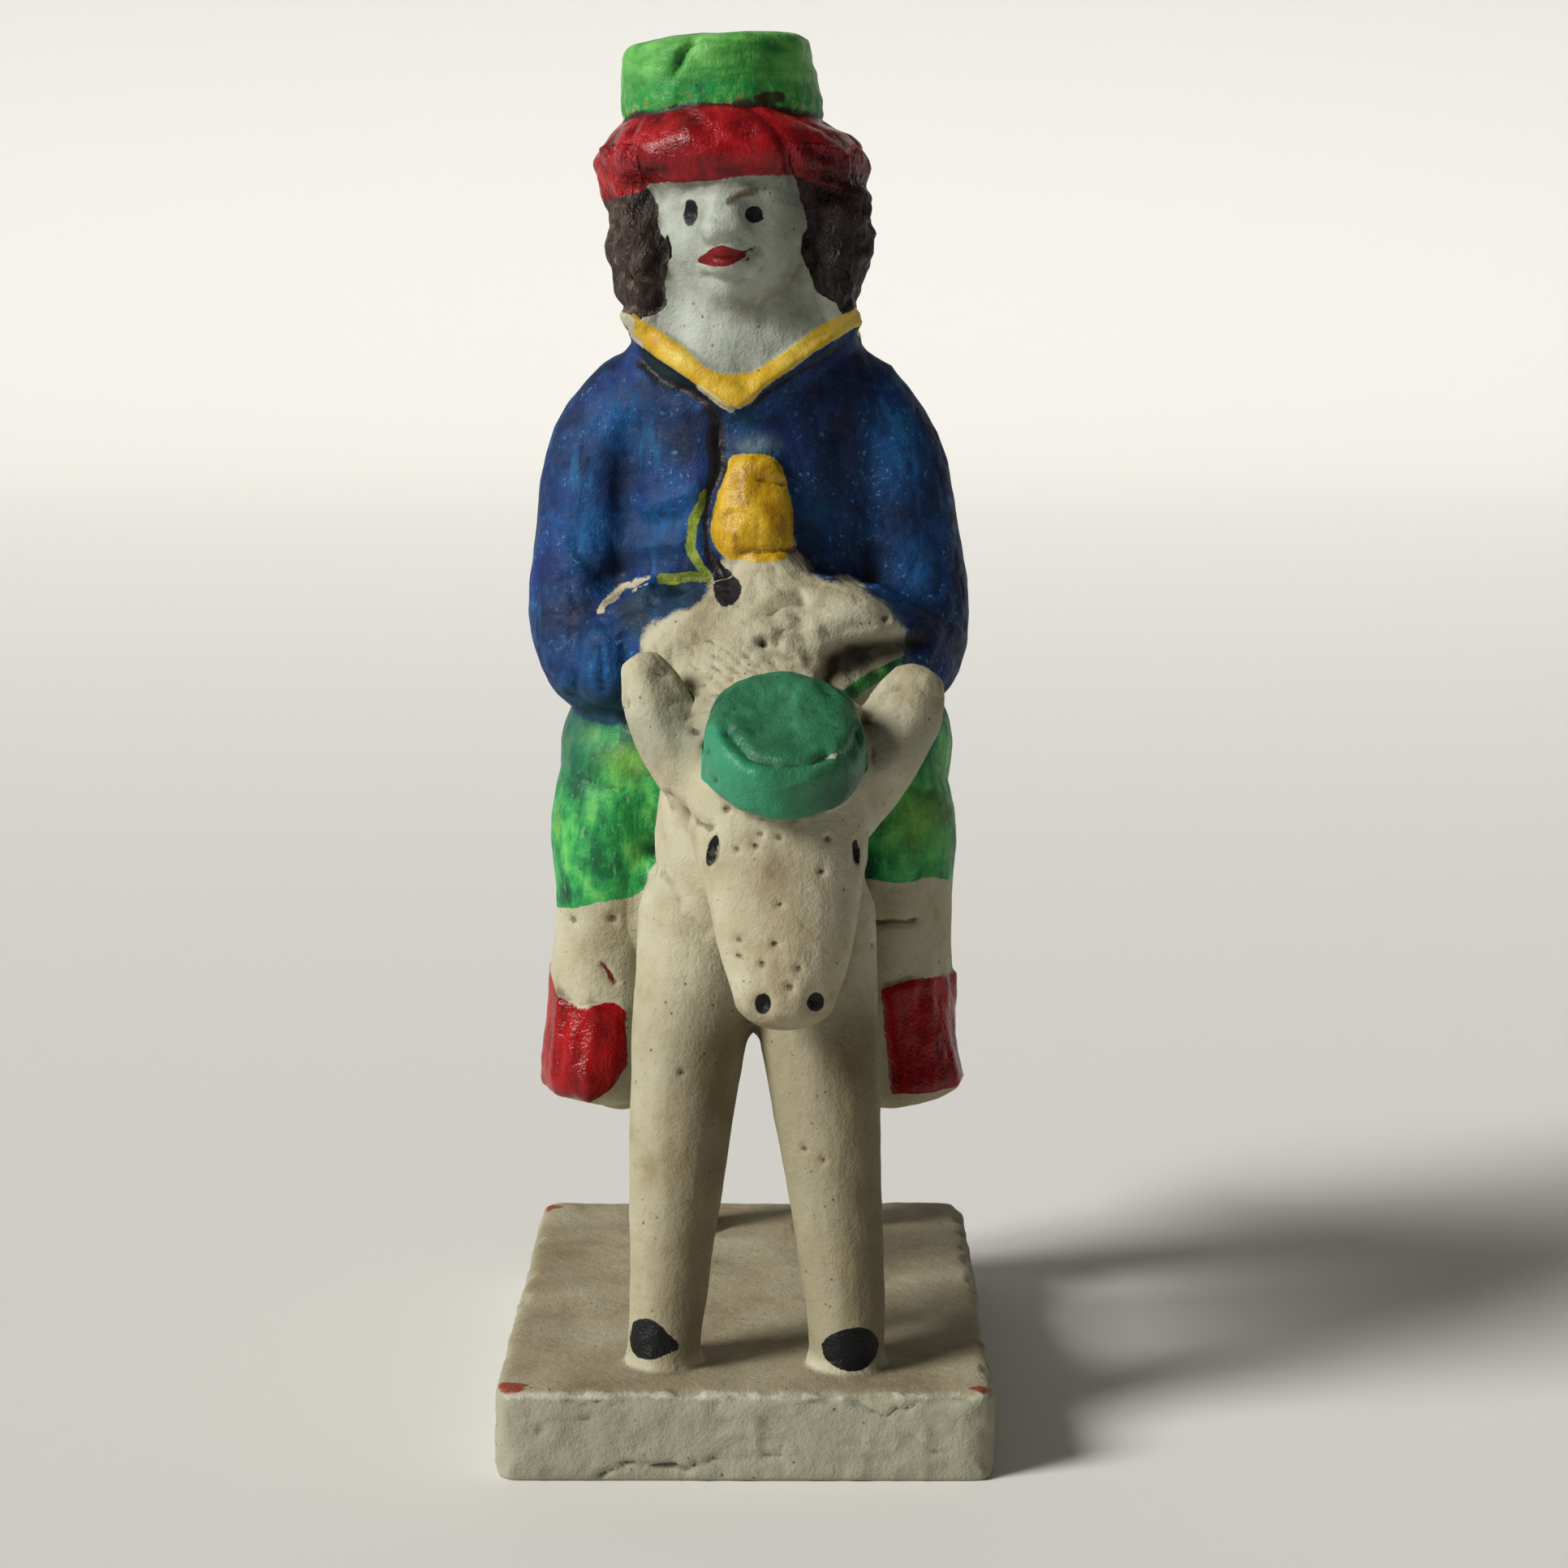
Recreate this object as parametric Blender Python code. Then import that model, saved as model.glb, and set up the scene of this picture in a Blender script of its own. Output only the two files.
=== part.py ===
"""Fired-clay whistle: a rider in a rolled-brim hat sits on a horse, on a slab.

The potter rolls and pinches separate lumps of clay, presses them together and
smears the joints, and the firing makes them one piece. The script does the same:
each lump is a closed loft, a voxel remesh melts the lumps into one skin, and
Booleans then trim the underside flat and bore the whistle in the horse's tail.
Metres, +Z up, the rider faces -Y, origin at the middle of the slab's underside.
"""

import math

import bmesh
import bpy
from mathutils import Matrix, Vector

# Driving dimensions
FIGURE_HEIGHT = 0.1663
SLAB_THICKNESS = 0.0115
SLAB_SIDE_MARGIN = 0.0132
SLAB_END_MARGIN = 0.0058
SLAB_CORNER_RADIUS = 0.0030
WHISTLE_DIAMETER = 0.0160
WHISTLE_WALL = 0.0032
WHISTLE_LENGTH = 0.0300
WINDWAY_LENGTH = 0.0090
WINDWAY_HEIGHT = 0.0014
WINDOW_LENGTH = 0.0052
WINDOW_WIDTH = 0.0064

# The free form is measured in parts of its own height, and one part is about 1 mm.
HEIGHT_IN_PARTS = 166.3
PART = FIGURE_HEIGHT / HEIGHT_IN_PARTS

# How finely the clay is skinned
CLAY_VOXEL = 0.9 * PART
SMEAR_PASSES = 5
SKIN_DETAIL = 0.066
RING_SEGMENTS = 28
STEPS_PER_STATION = 4

# Sections of the rider and the horse: x, y, z of the middle above the slab's top,
# then half the width and half the depth, all in parts.
TORSO = [
    (1.0, 2.0, 60.0, 23.4, 14.0),
    (1.0, 2.0, 68.0, 25.4, 15.0),
    (1.0, 1.5, 77.0, 25.8, 15.5),
    (0.5, 1.0, 90.0, 20.0, 15.0),
    (0.0, 1.0, 103.0, 19.0, 13.6),
    (0.2, 1.0, 114.0, 19.5, 12.5),
    (0.0, 0.5, 121.0, 18.6, 11.5),
    (-0.1, 0.5, 126.0, 15.8, 10.6),
    (-0.1, 0.5, 130.0, 13.2, 9.4),
]
NECK = [
    (0.0, -1.0, 118.0, 13.0, 11.0),
    (-0.4, -1.0, 125.0, 12.5, 11.0),
    (-1.0, -1.5, 131.0, 10.2, 10.4),
    (-1.4, -2.0, 137.0, 9.4, 10.5),
    (-1.8, -1.0, 146.0, 9.8, 11.0),
    (-2.0, 0.0, 154.0, 10.0, 10.0),
]
FACE = [
    (-1.7, -4.4, 134.2, 5.0, 5.5),
    (-1.8, -4.6, 137.0, 8.2, 8.6),
    (-1.9, -4.4, 141.0, 9.4, 10.0),
    (-1.9, -4.0, 145.5, 9.6, 10.2),
    (-1.9, -3.0, 150.0, 9.2, 10.0),
]
HAIR_BACK = [
    (-0.6, 4.5, 127.0, 12.5, 9.0),
    (-0.6, 4.6, 132.0, 14.6, 10.5),
    (-0.6, 4.4, 139.0, 16.0, 11.6),
    (-0.6, 4.0, 145.0, 16.0, 12.0),
    (-1.0, 2.6, 149.5, 13.8, 11.4),
]
HAIR_LEFT = [
    (-12.6, -2.5, 130.6, 3.2, 5.0),
    (-12.9, -3.6, 134.5, 4.1, 6.0),
    (-13.4, -3.8, 140.0, 4.2, 6.2),
    (-13.0, -3.4, 146.0, 4.0, 6.0),
]
HAIR_RIGHT = [
    (10.4, -2.5, 130.4, 3.2, 5.0),
    (10.8, -3.6, 134.5, 4.1, 6.0),
    (11.4, -3.8, 140.0, 4.6, 6.4),
    (11.6, -3.4, 146.0, 4.8, 6.2),
]
HAT_CROWN = [
    (-2.9, 0.4, 150.0, 13.4, 13.0),
    (-3.3, 0.4, 156.5, 13.0, 12.8),
    (-3.7, 0.4, 160.5, 12.6, 12.4),
    (-4.0, 0.4, 165.0, 12.2, 12.0),
]
NOSE = [
    (-2.0, -13.2, 146.0, 1.2, 1.4),
    (-2.0, -14.4, 142.8, 1.7, 1.9),
    (-2.0, -14.9, 140.6, 2.3, 2.0),
]
LIPS = [
    (-4.6, -12.9, 137.6, 0.8, 0.8),
    (-2.0, -13.9, 137.4, 1.4, 1.3),
    (0.6, -12.9, 137.6, 0.8, 0.8),
]
ARM_LEFT = [
    (-12.5, 1.5, 119.0, 8.4, 7.6),
    (-17.9, 1.2, 112.5, 8.5, 8.0),
    (-20.2, 1.0, 102.0, 7.8, 8.4),
    (-21.2, 0.0, 93.0, 7.8, 8.8),
    (-19.4, -4.0, 87.2, 7.9, 8.4),
    (-15.2, -9.0, 87.0, 7.6, 7.0),
    (-9.5, -11.6, 92.0, 6.2, 5.6),
]
ARM_RIGHT = [
    (12.5, 1.5, 119.0, 8.4, 7.6),
    (17.4, 1.2, 112.0, 8.4, 8.0),
    (19.8, 1.0, 102.0, 8.0, 8.4),
    (21.2, 0.0, 93.0, 7.9, 8.8),
    (20.3, -4.0, 87.4, 8.0, 8.4),
    (18.0, -9.0, 88.0, 7.6, 7.0),
    (13.6, -11.6, 92.0, 6.2, 5.6),
]
HAND_LEFT = [
    (-10.0, -14.0, 86.0, 5.4, 5.6),
    (-7.4, -15.6, 89.4, 5.6, 5.8),
    (-2.6, -16.0, 92.0, 5.6, 5.8),
    (2.6, -14.6, 92.6, 5.0, 5.4),
]
HAND_RIGHT = [
    (16.4, -14.0, 87.4, 5.0, 5.4),
    (14.4, -15.6, 90.4, 5.6, 5.8),
    (10.0, -16.0, 92.6, 5.6, 5.8),
    (4.4, -14.6, 93.4, 5.0, 5.4),
]
WAISTCOAT = [
    (1.4, -9.6, 98.0, 6.2, 5.6),
    (1.2, -10.4, 103.0, 5.9, 5.4),
    (1.5, -9.6, 108.0, 4.8, 4.8),
    (1.6, -7.6, 113.0, 3.2, 4.2),
]
LEG_LEFT = [
    (-14.0, 1.0, 74.0, 10.0, 11.0),
    (-17.6, -1.0, 64.0, 8.6, 10.5),
    (-17.8, -1.5, 54.0, 7.6, 9.4),
    (-18.4, -1.5, 43.0, 8.0, 8.6),
    (-19.6, -2.5, 34.0, 7.0, 8.4),
    (-20.4, -3.5, 28.5, 6.8, 8.4),
]
LEG_RIGHT = [
    (15.0, 1.0, 74.0, 10.0, 11.0),
    (18.8, -1.0, 64.0, 8.8, 10.5),
    (19.2, -1.5, 54.0, 7.8, 9.4),
    (19.6, -1.5, 43.0, 7.4, 8.6),
    (21.0, -2.5, 34.0, 6.8, 8.4),
    (22.2, -3.5, 28.5, 6.8, 8.4),
]
HEEL_LEFT = [
    (-17.6, 3.0, 36.0, 6.0, 6.0),
    (-17.2, 4.0, 27.0, 4.8, 5.4),
]
HEEL_RIGHT = [
    (18.0, 3.0, 36.0, 6.0, 6.0),
    (18.4, 4.0, 28.5, 4.8, 5.4),
]
COLLAR_LEFT = [
    (-13.4, -4.0, 129.6, 1.7, 1.5),
    (-8.0, -9.4, 125.0, 1.7, 1.5),
    (-0.4, -12.6, 119.8, 1.8, 1.5),
]
COLLAR_RIGHT = [
    (13.2, -4.0, 129.6, 1.7, 1.5),
    (7.6, -9.4, 125.0, 1.7, 1.5),
    (-0.4, -12.6, 119.8, 1.8, 1.5),
]
HORSE_BODY = [
    (1.4, -20.0, 52.0, 11.5, 11.0),
    (1.4, -12.0, 54.0, 13.5, 13.0),
    (1.2, 0.0, 55.0, 13.5, 13.0),
    (1.2, 16.0, 55.0, 13.0, 13.0),
    (1.4, 26.0, 55.5, 13.0, 13.0),
    (1.4, 32.0, 55.0, 10.5, 10.5),
]
HORSE_NECK = [
    (1.6, -22.0, 55.5, 10.6, 8.6),
    (1.8, -22.5, 63.0, 13.6, 9.6),
    (2.4, -20.5, 74.0, 13.2, 9.0),
    (3.0, -17.0, 84.0, 13.4, 8.6),
    (3.2, -15.0, 91.0, 11.6, 8.0),
    (2.8, -12.6, 97.6, 5.4, 5.0),
]
HORSE_HEAD = [
    (4.2, -26.0, 80.0, 10.2, 7.0),
    (4.2, -29.0, 74.0, 11.6, 8.0),
    (4.4, -31.4, 68.0, 11.2, 7.8),
    (4.8, -34.4, 61.0, 9.7, 6.8),
    (5.0, -37.0, 54.0, 8.1, 5.8),
    (5.0, -38.8, 48.9, 6.6, 5.2),
]
EAR_LEFT = [
    (-2.5, -28.0, 69.0, 4.2, 3.6),
    (-6.6, -27.5, 74.6, 4.8, 3.4),
    (-9.6, -27.0, 80.0, 4.7, 3.0),
    (-11.6, -26.4, 84.6, 4.2, 2.7),
    (-13.0, -25.8, 88.2, 3.0, 2.2),
]
EAR_RIGHT = [
    (11.5, -28.0, 68.0, 4.2, 3.6),
    (15.0, -27.5, 73.4, 4.8, 3.4),
    (18.2, -27.0, 78.8, 5.0, 3.0),
    (20.4, -26.4, 83.2, 4.8, 2.7),
    (21.9, -25.8, 86.4, 3.4, 2.2),
]
FORELEG_LEFT = [
    (-5.6, -22.0, 56.0, 8.2, 8.0),
    (-7.2, -25.5, 40.0, 7.3, 7.0),
    (-8.8, -29.0, 22.0, 5.9, 5.8),
    (-9.9, -31.6, 8.0, 4.8, 4.9),
    (-10.4, -32.4, -1.0, 4.6, 5.0),
]
FORELEG_RIGHT = [
    (8.2, -22.0, 56.0, 8.2, 8.0),
    (9.3, -25.5, 40.0, 7.5, 7.0),
    (11.2, -29.0, 22.0, 6.0, 5.8),
    (12.5, -32.0, 8.0, 5.1, 5.0),
    (12.9, -33.0, -1.0, 4.9, 5.2),
]
HINDLEG_LEFT = [
    (-4.6, 23.0, 56.0, 8.4, 10.0),
    (-6.8, 26.0, 40.0, 7.0, 8.4),
    (-8.2, 30.0, 22.0, 5.6, 6.0),
    (-8.8, 30.4, 8.0, 4.8, 5.0),
    (-9.0, 30.0, -1.0, 4.6, 5.0),
]
HINDLEG_RIGHT = [
    (7.4, 23.0, 56.0, 8.4, 10.0),
    (9.4, 26.0, 40.0, 7.0, 8.4),
    (10.8, 30.0, 22.0, 5.6, 6.0),
    (11.4, 30.4, 8.0, 4.8, 5.0),
    (11.6, 30.0, -1.0, 4.6, 5.0),
]

# The rolled brim is a ring of clay twisted like a rope.
BRIM_MIDDLE = (-1.9, 0.6, 151.2)
BRIM_HALF_WIDTH = 12.4
BRIM_HALF_DEPTH = 11.6
BRIM_ROLL = 5.1
BRIM_DROOP = 2.2
BRIM_TWISTS = 11
BRIM_TWIST_DEPTH = 0.3

# The pompon is a thick disc on the horse's forehead, leaning forward.
POMPON_MIDDLE = (4.9, -36.8, 78.8)
POMPON_RADIUS = 9.8
POMPON_THICKNESS = 9.2
POMPON_LEAN = math.radians(30)

# The whistle's axis runs along +Y out of the horse's rump.
WHISTLE_ROOT = (1.4, 24.0, 55.0)
WHISTLE_BLEND = 6.0

CLAY_COLOUR = (0.62, 0.58, 0.49, 1.0)
CLAY_ROUGHNESS = 0.65


def place(x, y, z):
    """A point of the free form, in metres from the middle of the slab's underside."""
    return Vector((x * PART, y * PART, SLAB_THICKNESS + z * PART))


def smooth_between(stations, steps):
    """Points of a Catmull-Rom curve through the stations, with all their values."""
    padded = [stations[0], *stations, stations[-1]]
    found = []
    for index in range(len(stations) - 1):
        before, start, end, after = padded[index:index + 4]
        for step in range(steps):
            t = step / steps
            found.append(tuple(
                0.5 * (2 * b + (c - a) * t + (2 * a - 5 * b + 4 * c - d) * t * t
                       + (3 * b - a - 3 * c + d) * t ** 3)
                for a, b, c, d in zip(before, start, end, after)
            ))
    return found + [tuple(stations[-1])]


def mesh_from_rings(name, rings, tips=None):
    """A closed mesh through rings of points: fans to the two tips, or a closed loop."""
    build = bmesh.new()
    loops = [[build.verts.new(point) for point in ring] for ring in rings]
    pairs = list(zip(loops, loops[1:]))
    if tips is None:
        pairs.append((loops[-1], loops[0]))
    for lower, upper in pairs:
        for index in range(len(lower)):
            after = (index + 1) % len(lower)
            build.faces.new((lower[index], lower[after], upper[after], upper[index]))
    if tips is not None:
        for tip, loop in zip(tips, (loops[0], loops[-1])):
            centre = build.verts.new(tip)
            for index in range(len(loop)):
                build.faces.new((loop[index], loop[(index + 1) % len(loop)], centre))
    bmesh.ops.recalc_face_normals(build, faces=build.faces)
    mesh = bpy.data.meshes.new(name)
    build.to_mesh(mesh)
    build.free()
    return mesh


def lump(name, stations, side=(1, 0, 0), cap=0.6):
    """A rolled and pinched piece of clay: oval sections along a smooth line, with
    round ends that stand out by a share of the end section's smaller half size."""
    line = smooth_between(stations, STEPS_PER_STATION)
    centres = [place(*values[:3]) for values in line]
    tangents = [
        (centres[min(i + 1, len(centres) - 1)] - centres[max(i - 1, 0)]).normalized()
        for i in range(len(centres))
    ]
    sections = [
        (centre, tangent, values[3] * PART, values[4] * PART)
        for centre, tangent, values in zip(centres, tangents, line)
    ]

    def end_sections(section, direction):
        centre, tangent, half_width, half_depth = section
        reach = cap * min(half_width, half_depth) * direction
        return [
            (centre + tangent * reach * math.sin(angle), tangent,
             half_width * math.cos(angle), half_depth * math.cos(angle))
            for angle in (math.radians(25), math.radians(50), math.radians(72))
        ]

    sections = (list(reversed(end_sections(sections[0], -1))) + sections
                + end_sections(sections[-1], 1))
    rings = []
    for centre, tangent, half_width, half_depth in sections:
        across = Vector(side)
        across = (across - across.dot(tangent) * tangent).normalized()
        deep = tangent.cross(across)
        rings.append([
            centre + across * half_width * math.cos(turn) + deep * half_depth * math.sin(turn)
            for turn in (2 * math.pi * k / RING_SEGMENTS for k in range(RING_SEGMENTS))
        ])
    first, last = sections[3], sections[-4]
    tips = (
        first[0] - first[1] * cap * min(first[2:]),
        last[0] + last[1] * cap * min(last[2:]),
    )
    return mesh_from_rings(name, rings, tips)


def rolled_brim():
    """The hat's brim: a ring whose section is a rope's, so that twists run round it."""
    ring_steps = 96
    rings = []
    for step in range(ring_steps):
        around = 2 * math.pi * step / ring_steps
        outward = Vector((math.cos(around), math.sin(around), 0))
        middle = Vector(BRIM_MIDDLE) + Vector((
            BRIM_HALF_WIDTH * math.cos(around),
            BRIM_HALF_DEPTH * math.sin(around),
            -BRIM_DROOP * math.cos(around) ** 2,
        ))
        ring = []
        for k in range(RING_SEGMENTS):
            turn = 2 * math.pi * k / RING_SEGMENTS
            reach = BRIM_ROLL + BRIM_TWIST_DEPTH * math.cos(BRIM_TWISTS * around + 2 * turn)
            offset = outward * reach * math.cos(turn) + Vector((0, 0, reach * math.sin(turn)))
            ring.append(place(*(middle + offset)))
        rings.append(ring)
    return mesh_from_rings("brim", rings)


def turned_disc(name, middle, radius, thickness, lean):
    """A thick disc with well rounded rims, its axis leaning from +Z towards -Y."""
    build = bmesh.new()
    bmesh.ops.create_cone(
        build, cap_ends=True, segments=48, radius1=radius * PART, radius2=radius * PART,
        depth=thickness * PART,
    )
    rims = [edge for edge in build.edges if abs(edge.verts[0].co.z - edge.verts[1].co.z) < 1e-7]
    bmesh.ops.bevel(
        build, geom=rims, offset=0.3 * thickness * PART, segments=5, profile=0.5,
        affect="EDGES",
    )
    turn = Matrix.Translation(place(*middle)) @ Matrix.Rotation(lean, 4, "X")
    bmesh.ops.transform(build, matrix=turn, verts=build.verts)
    mesh = bpy.data.meshes.new(name)
    build.to_mesh(mesh)
    build.free()
    return mesh


def rounded_box(name, low, high, radius, segments=4):
    """A block between two corners, with its upright edges rounded."""
    build = bmesh.new()
    size = Vector(high) - Vector(low)
    middle = (Vector(high) + Vector(low)) / 2
    bmesh.ops.create_cube(build, size=1.0)
    bmesh.ops.scale(build, vec=size, verts=build.verts)
    bmesh.ops.translate(build, vec=middle, verts=build.verts)
    if radius:
        upright = [e for e in build.edges if abs(e.verts[0].co.z - e.verts[1].co.z) > 1e-7]
        bmesh.ops.bevel(
            build, geom=upright, offset=radius, segments=segments, profile=0.5, affect="EDGES",
        )
    mesh = bpy.data.meshes.new(name)
    build.to_mesh(mesh)
    build.free()
    return mesh


def slab_box():
    """Low and high corners of the slab: the hooves' outermost sections plus margins."""
    feet = [leg[-1] for leg in (FORELEG_LEFT, FORELEG_RIGHT, HINDLEG_LEFT, HINDLEG_RIGHT)]
    half_width = max(abs(x) + half for x, _, _, half, _ in feet) * PART + SLAB_SIDE_MARGIN
    front = min(y - half for _, y, _, _, half in feet) * PART - SLAB_END_MARGIN
    half_length = abs(front)
    return Vector((-half_width, -half_length, 0)), Vector((half_width, half_length, SLAB_THICKNESS))


def slab():
    """The slab, a little too thick below, so that the trim leaves a flat underside."""
    low, high = slab_box()
    trim = Vector((0, 0, CLAY_VOXEL / 2))
    return rounded_box("slab", low - trim, high, SLAB_CORNER_RADIUS)


def whistle_end():
    """Where the mouthpiece ends, on the whistle's axis."""
    return place(*WHISTLE_ROOT) + Vector((0, WHISTLE_LENGTH, 0))


def mouthpiece():
    """The horse's tail, which is the whistle's tube."""
    radius = WHISTLE_DIAMETER / 2 / PART
    reach = WHISTLE_LENGTH / PART
    x, y, z = WHISTLE_ROOT
    return lump("mouthpiece", [
        (x, y - WHISTLE_BLEND, z, radius, radius),
        (x, y + 0.35 * reach, z, 1.04 * radius, 1.04 * radius),
        (x, y + 0.72 * reach, z, radius, radius),
        (x, y + 0.97 * reach, z, 0.94 * radius, 0.86 * radius),
    ], cap=0.15)


def cutter(name, mesh):
    """A helper object that a Boolean takes away from the clay."""
    made = bpy.data.objects.new(name, mesh)
    bpy.context.scene.collection.objects.link(made)
    made.hide_render = True
    made.display_type = "WIRE"
    return made


def underside_cutter():
    low, high = slab_box()
    spare = Vector((SLAB_END_MARGIN, SLAB_END_MARGIN, 0))
    below = Vector((0, 0, SLAB_THICKNESS))
    return cutter("trim_below", rounded_box(
        "trim_below", low - spare - below, Vector((high.x, high.y, 0)) + spare, 0,
    ))


def chamber_cutter():
    """The round hollow that sounds. It stops short of the tube's end by the windway."""
    end = whistle_end()
    radius = WHISTLE_DIAMETER / 2 - WHISTLE_WALL
    length = WHISTLE_LENGTH - WINDWAY_LENGTH
    build = bmesh.new()
    bmesh.ops.create_cone(
        build, cap_ends=True, segments=20, radius1=radius, radius2=radius, depth=length,
    )
    turn = Matrix.Translation(end - Vector((0, WINDWAY_LENGTH + length / 2, 0)))
    bmesh.ops.transform(build, matrix=turn @ Matrix.Rotation(math.pi / 2, 4, "X"), verts=build.verts)
    mesh = bpy.data.meshes.new("chamber")
    build.to_mesh(mesh)
    build.free()
    return cutter("chamber", mesh)


def windway_cutter():
    """The flat slit that leads the breath from the mouth end to the window."""
    end = whistle_end()
    roof = WHISTLE_DIAMETER / 2 - WHISTLE_WALL
    return cutter("windway", rounded_box(
        "windway",
        end + Vector((-WINDOW_WIDTH / 2, -WINDWAY_LENGTH - WINDOW_LENGTH / 2, roof - WINDWAY_HEIGHT)),
        end + Vector((WINDOW_WIDTH / 2, WHISTLE_WALL, roof)),
        0,
    ))


def window_cutter():
    """The window over the chamber, whose far edge is the blade that splits the breath."""
    end = whistle_end()
    near = end.y - WINDWAY_LENGTH
    blade_run = 0.8 * WHISTLE_WALL
    floor = end.z + 0.4 * (WHISTLE_DIAMETER / 2 - WHISTLE_WALL)
    top = end.z + WHISTLE_DIAMETER
    profile = [
        (near, floor), (near, top),
        (near - WINDOW_LENGTH - 4 * blade_run, top),
        (near - WINDOW_LENGTH - blade_run, end.z + WHISTLE_DIAMETER / 2),
        (near - WINDOW_LENGTH, end.z + WHISTLE_DIAMETER / 2 - 0.8 * WHISTLE_WALL),
        (near - WINDOW_LENGTH, floor),
    ]
    rings = [
        [Vector((end.x + side * WINDOW_WIDTH / 2, y, z)) for y, z in profile]
        for side in (-1, 1)
    ]
    build = bmesh.new()
    loops = [[build.verts.new(point) for point in ring] for ring in rings]
    build.faces.new(loops[0])
    build.faces.new(loops[1])
    bmesh.ops.bridge_loops(build, edges=[e for e in build.edges])
    bmesh.ops.recalc_face_normals(build, faces=build.faces)
    mesh = bpy.data.meshes.new("window")
    build.to_mesh(mesh)
    build.free()
    return cutter("window", mesh)


def clay_lumps():
    """Every lump of clay that the potter joins."""
    return [
        slab(),
        lump("torso", TORSO),
        lump("neck", NECK),
        lump("face", FACE),
        lump("nose", NOSE, cap=0.8),
        lump("lips", LIPS, side=(0, 0, 1), cap=0.8),
        lump("hair_back", HAIR_BACK),
        lump("hair_left", HAIR_LEFT),
        lump("hair_right", HAIR_RIGHT),
        lump("hat_crown", HAT_CROWN, cap=0.12),
        rolled_brim(),
        lump("arm_left", ARM_LEFT),
        lump("arm_right", ARM_RIGHT),
        lump("hand_left", HAND_LEFT, side=(0, 0, 1)),
        lump("hand_right", HAND_RIGHT, side=(0, 0, 1)),
        lump("waistcoat", WAISTCOAT),
        lump("leg_left", LEG_LEFT, cap=0.3),
        lump("leg_right", LEG_RIGHT, cap=0.3),
        lump("heel_left", HEEL_LEFT),
        lump("heel_right", HEEL_RIGHT),
        lump("collar_left", COLLAR_LEFT),
        lump("collar_right", COLLAR_RIGHT),
        lump("horse_body", HORSE_BODY),
        lump("horse_neck", HORSE_NECK),
        lump("horse_head", HORSE_HEAD, cap=0.9),
        lump("ear_left", EAR_LEFT),
        lump("ear_right", EAR_RIGHT),
        turned_disc("pompon", POMPON_MIDDLE, POMPON_RADIUS, POMPON_THICKNESS, POMPON_LEAN),
        lump("foreleg_left", FORELEG_LEFT, cap=0.9),
        lump("foreleg_right", FORELEG_RIGHT, cap=0.9),
        lump("hindleg_left", HINDLEG_LEFT, cap=0.9),
        lump("hindleg_right", HINDLEG_RIGHT, cap=0.9),
        mouthpiece(),
    ]


def clay_material():
    """Cream slip over fired clay, dull to satin."""
    material = bpy.data.materials.new("clay")
    material.use_nodes = True
    shader = material.node_tree.nodes["Principled BSDF"]
    shader.inputs["Base Color"].default_value = CLAY_COLOUR
    shader.inputs["Roughness"].default_value = CLAY_ROUGHNESS
    shader.inputs["Metallic"].default_value = 0.0
    return material


def joined(name, meshes):
    """One mesh that holds all the lumps, still overlapping."""
    build = bmesh.new()
    for mesh in meshes:
        build.from_mesh(mesh)
        bpy.data.meshes.remove(mesh)
    mesh = bpy.data.meshes.new(name)
    build.to_mesh(mesh)
    build.free()
    return mesh


def whistle_figure():
    """The whole figure: lumps melted into one skin, smeared, trimmed and bored."""
    figure = bpy.data.objects.new("whistle_figure", joined("whistle_figure", clay_lumps()))
    bpy.context.scene.collection.objects.link(figure)
    figure.data.materials.append(clay_material())
    melt = figure.modifiers.new("melt", "REMESH")
    melt.mode = "VOXEL"
    melt.voxel_size = CLAY_VOXEL
    smear = figure.modifiers.new("smear", "SMOOTH")
    smear.factor = 0.5
    smear.iterations = SMEAR_PASSES
    skin = figure.modifiers.new("skin", "DECIMATE")
    skin.ratio = SKIN_DETAIL
    for made in (underside_cutter(), chamber_cutter(), windway_cutter(), window_cutter()):
        cut = figure.modifiers.new("cut_" + made.name, "BOOLEAN")
        cut.operation = "DIFFERENCE"
        cut.solver = "EXACT"
        cut.object = made
    return figure


def main():
    for old in list(bpy.data.objects):
        bpy.data.objects.remove(old)
    whistle_figure()


main()
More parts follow.
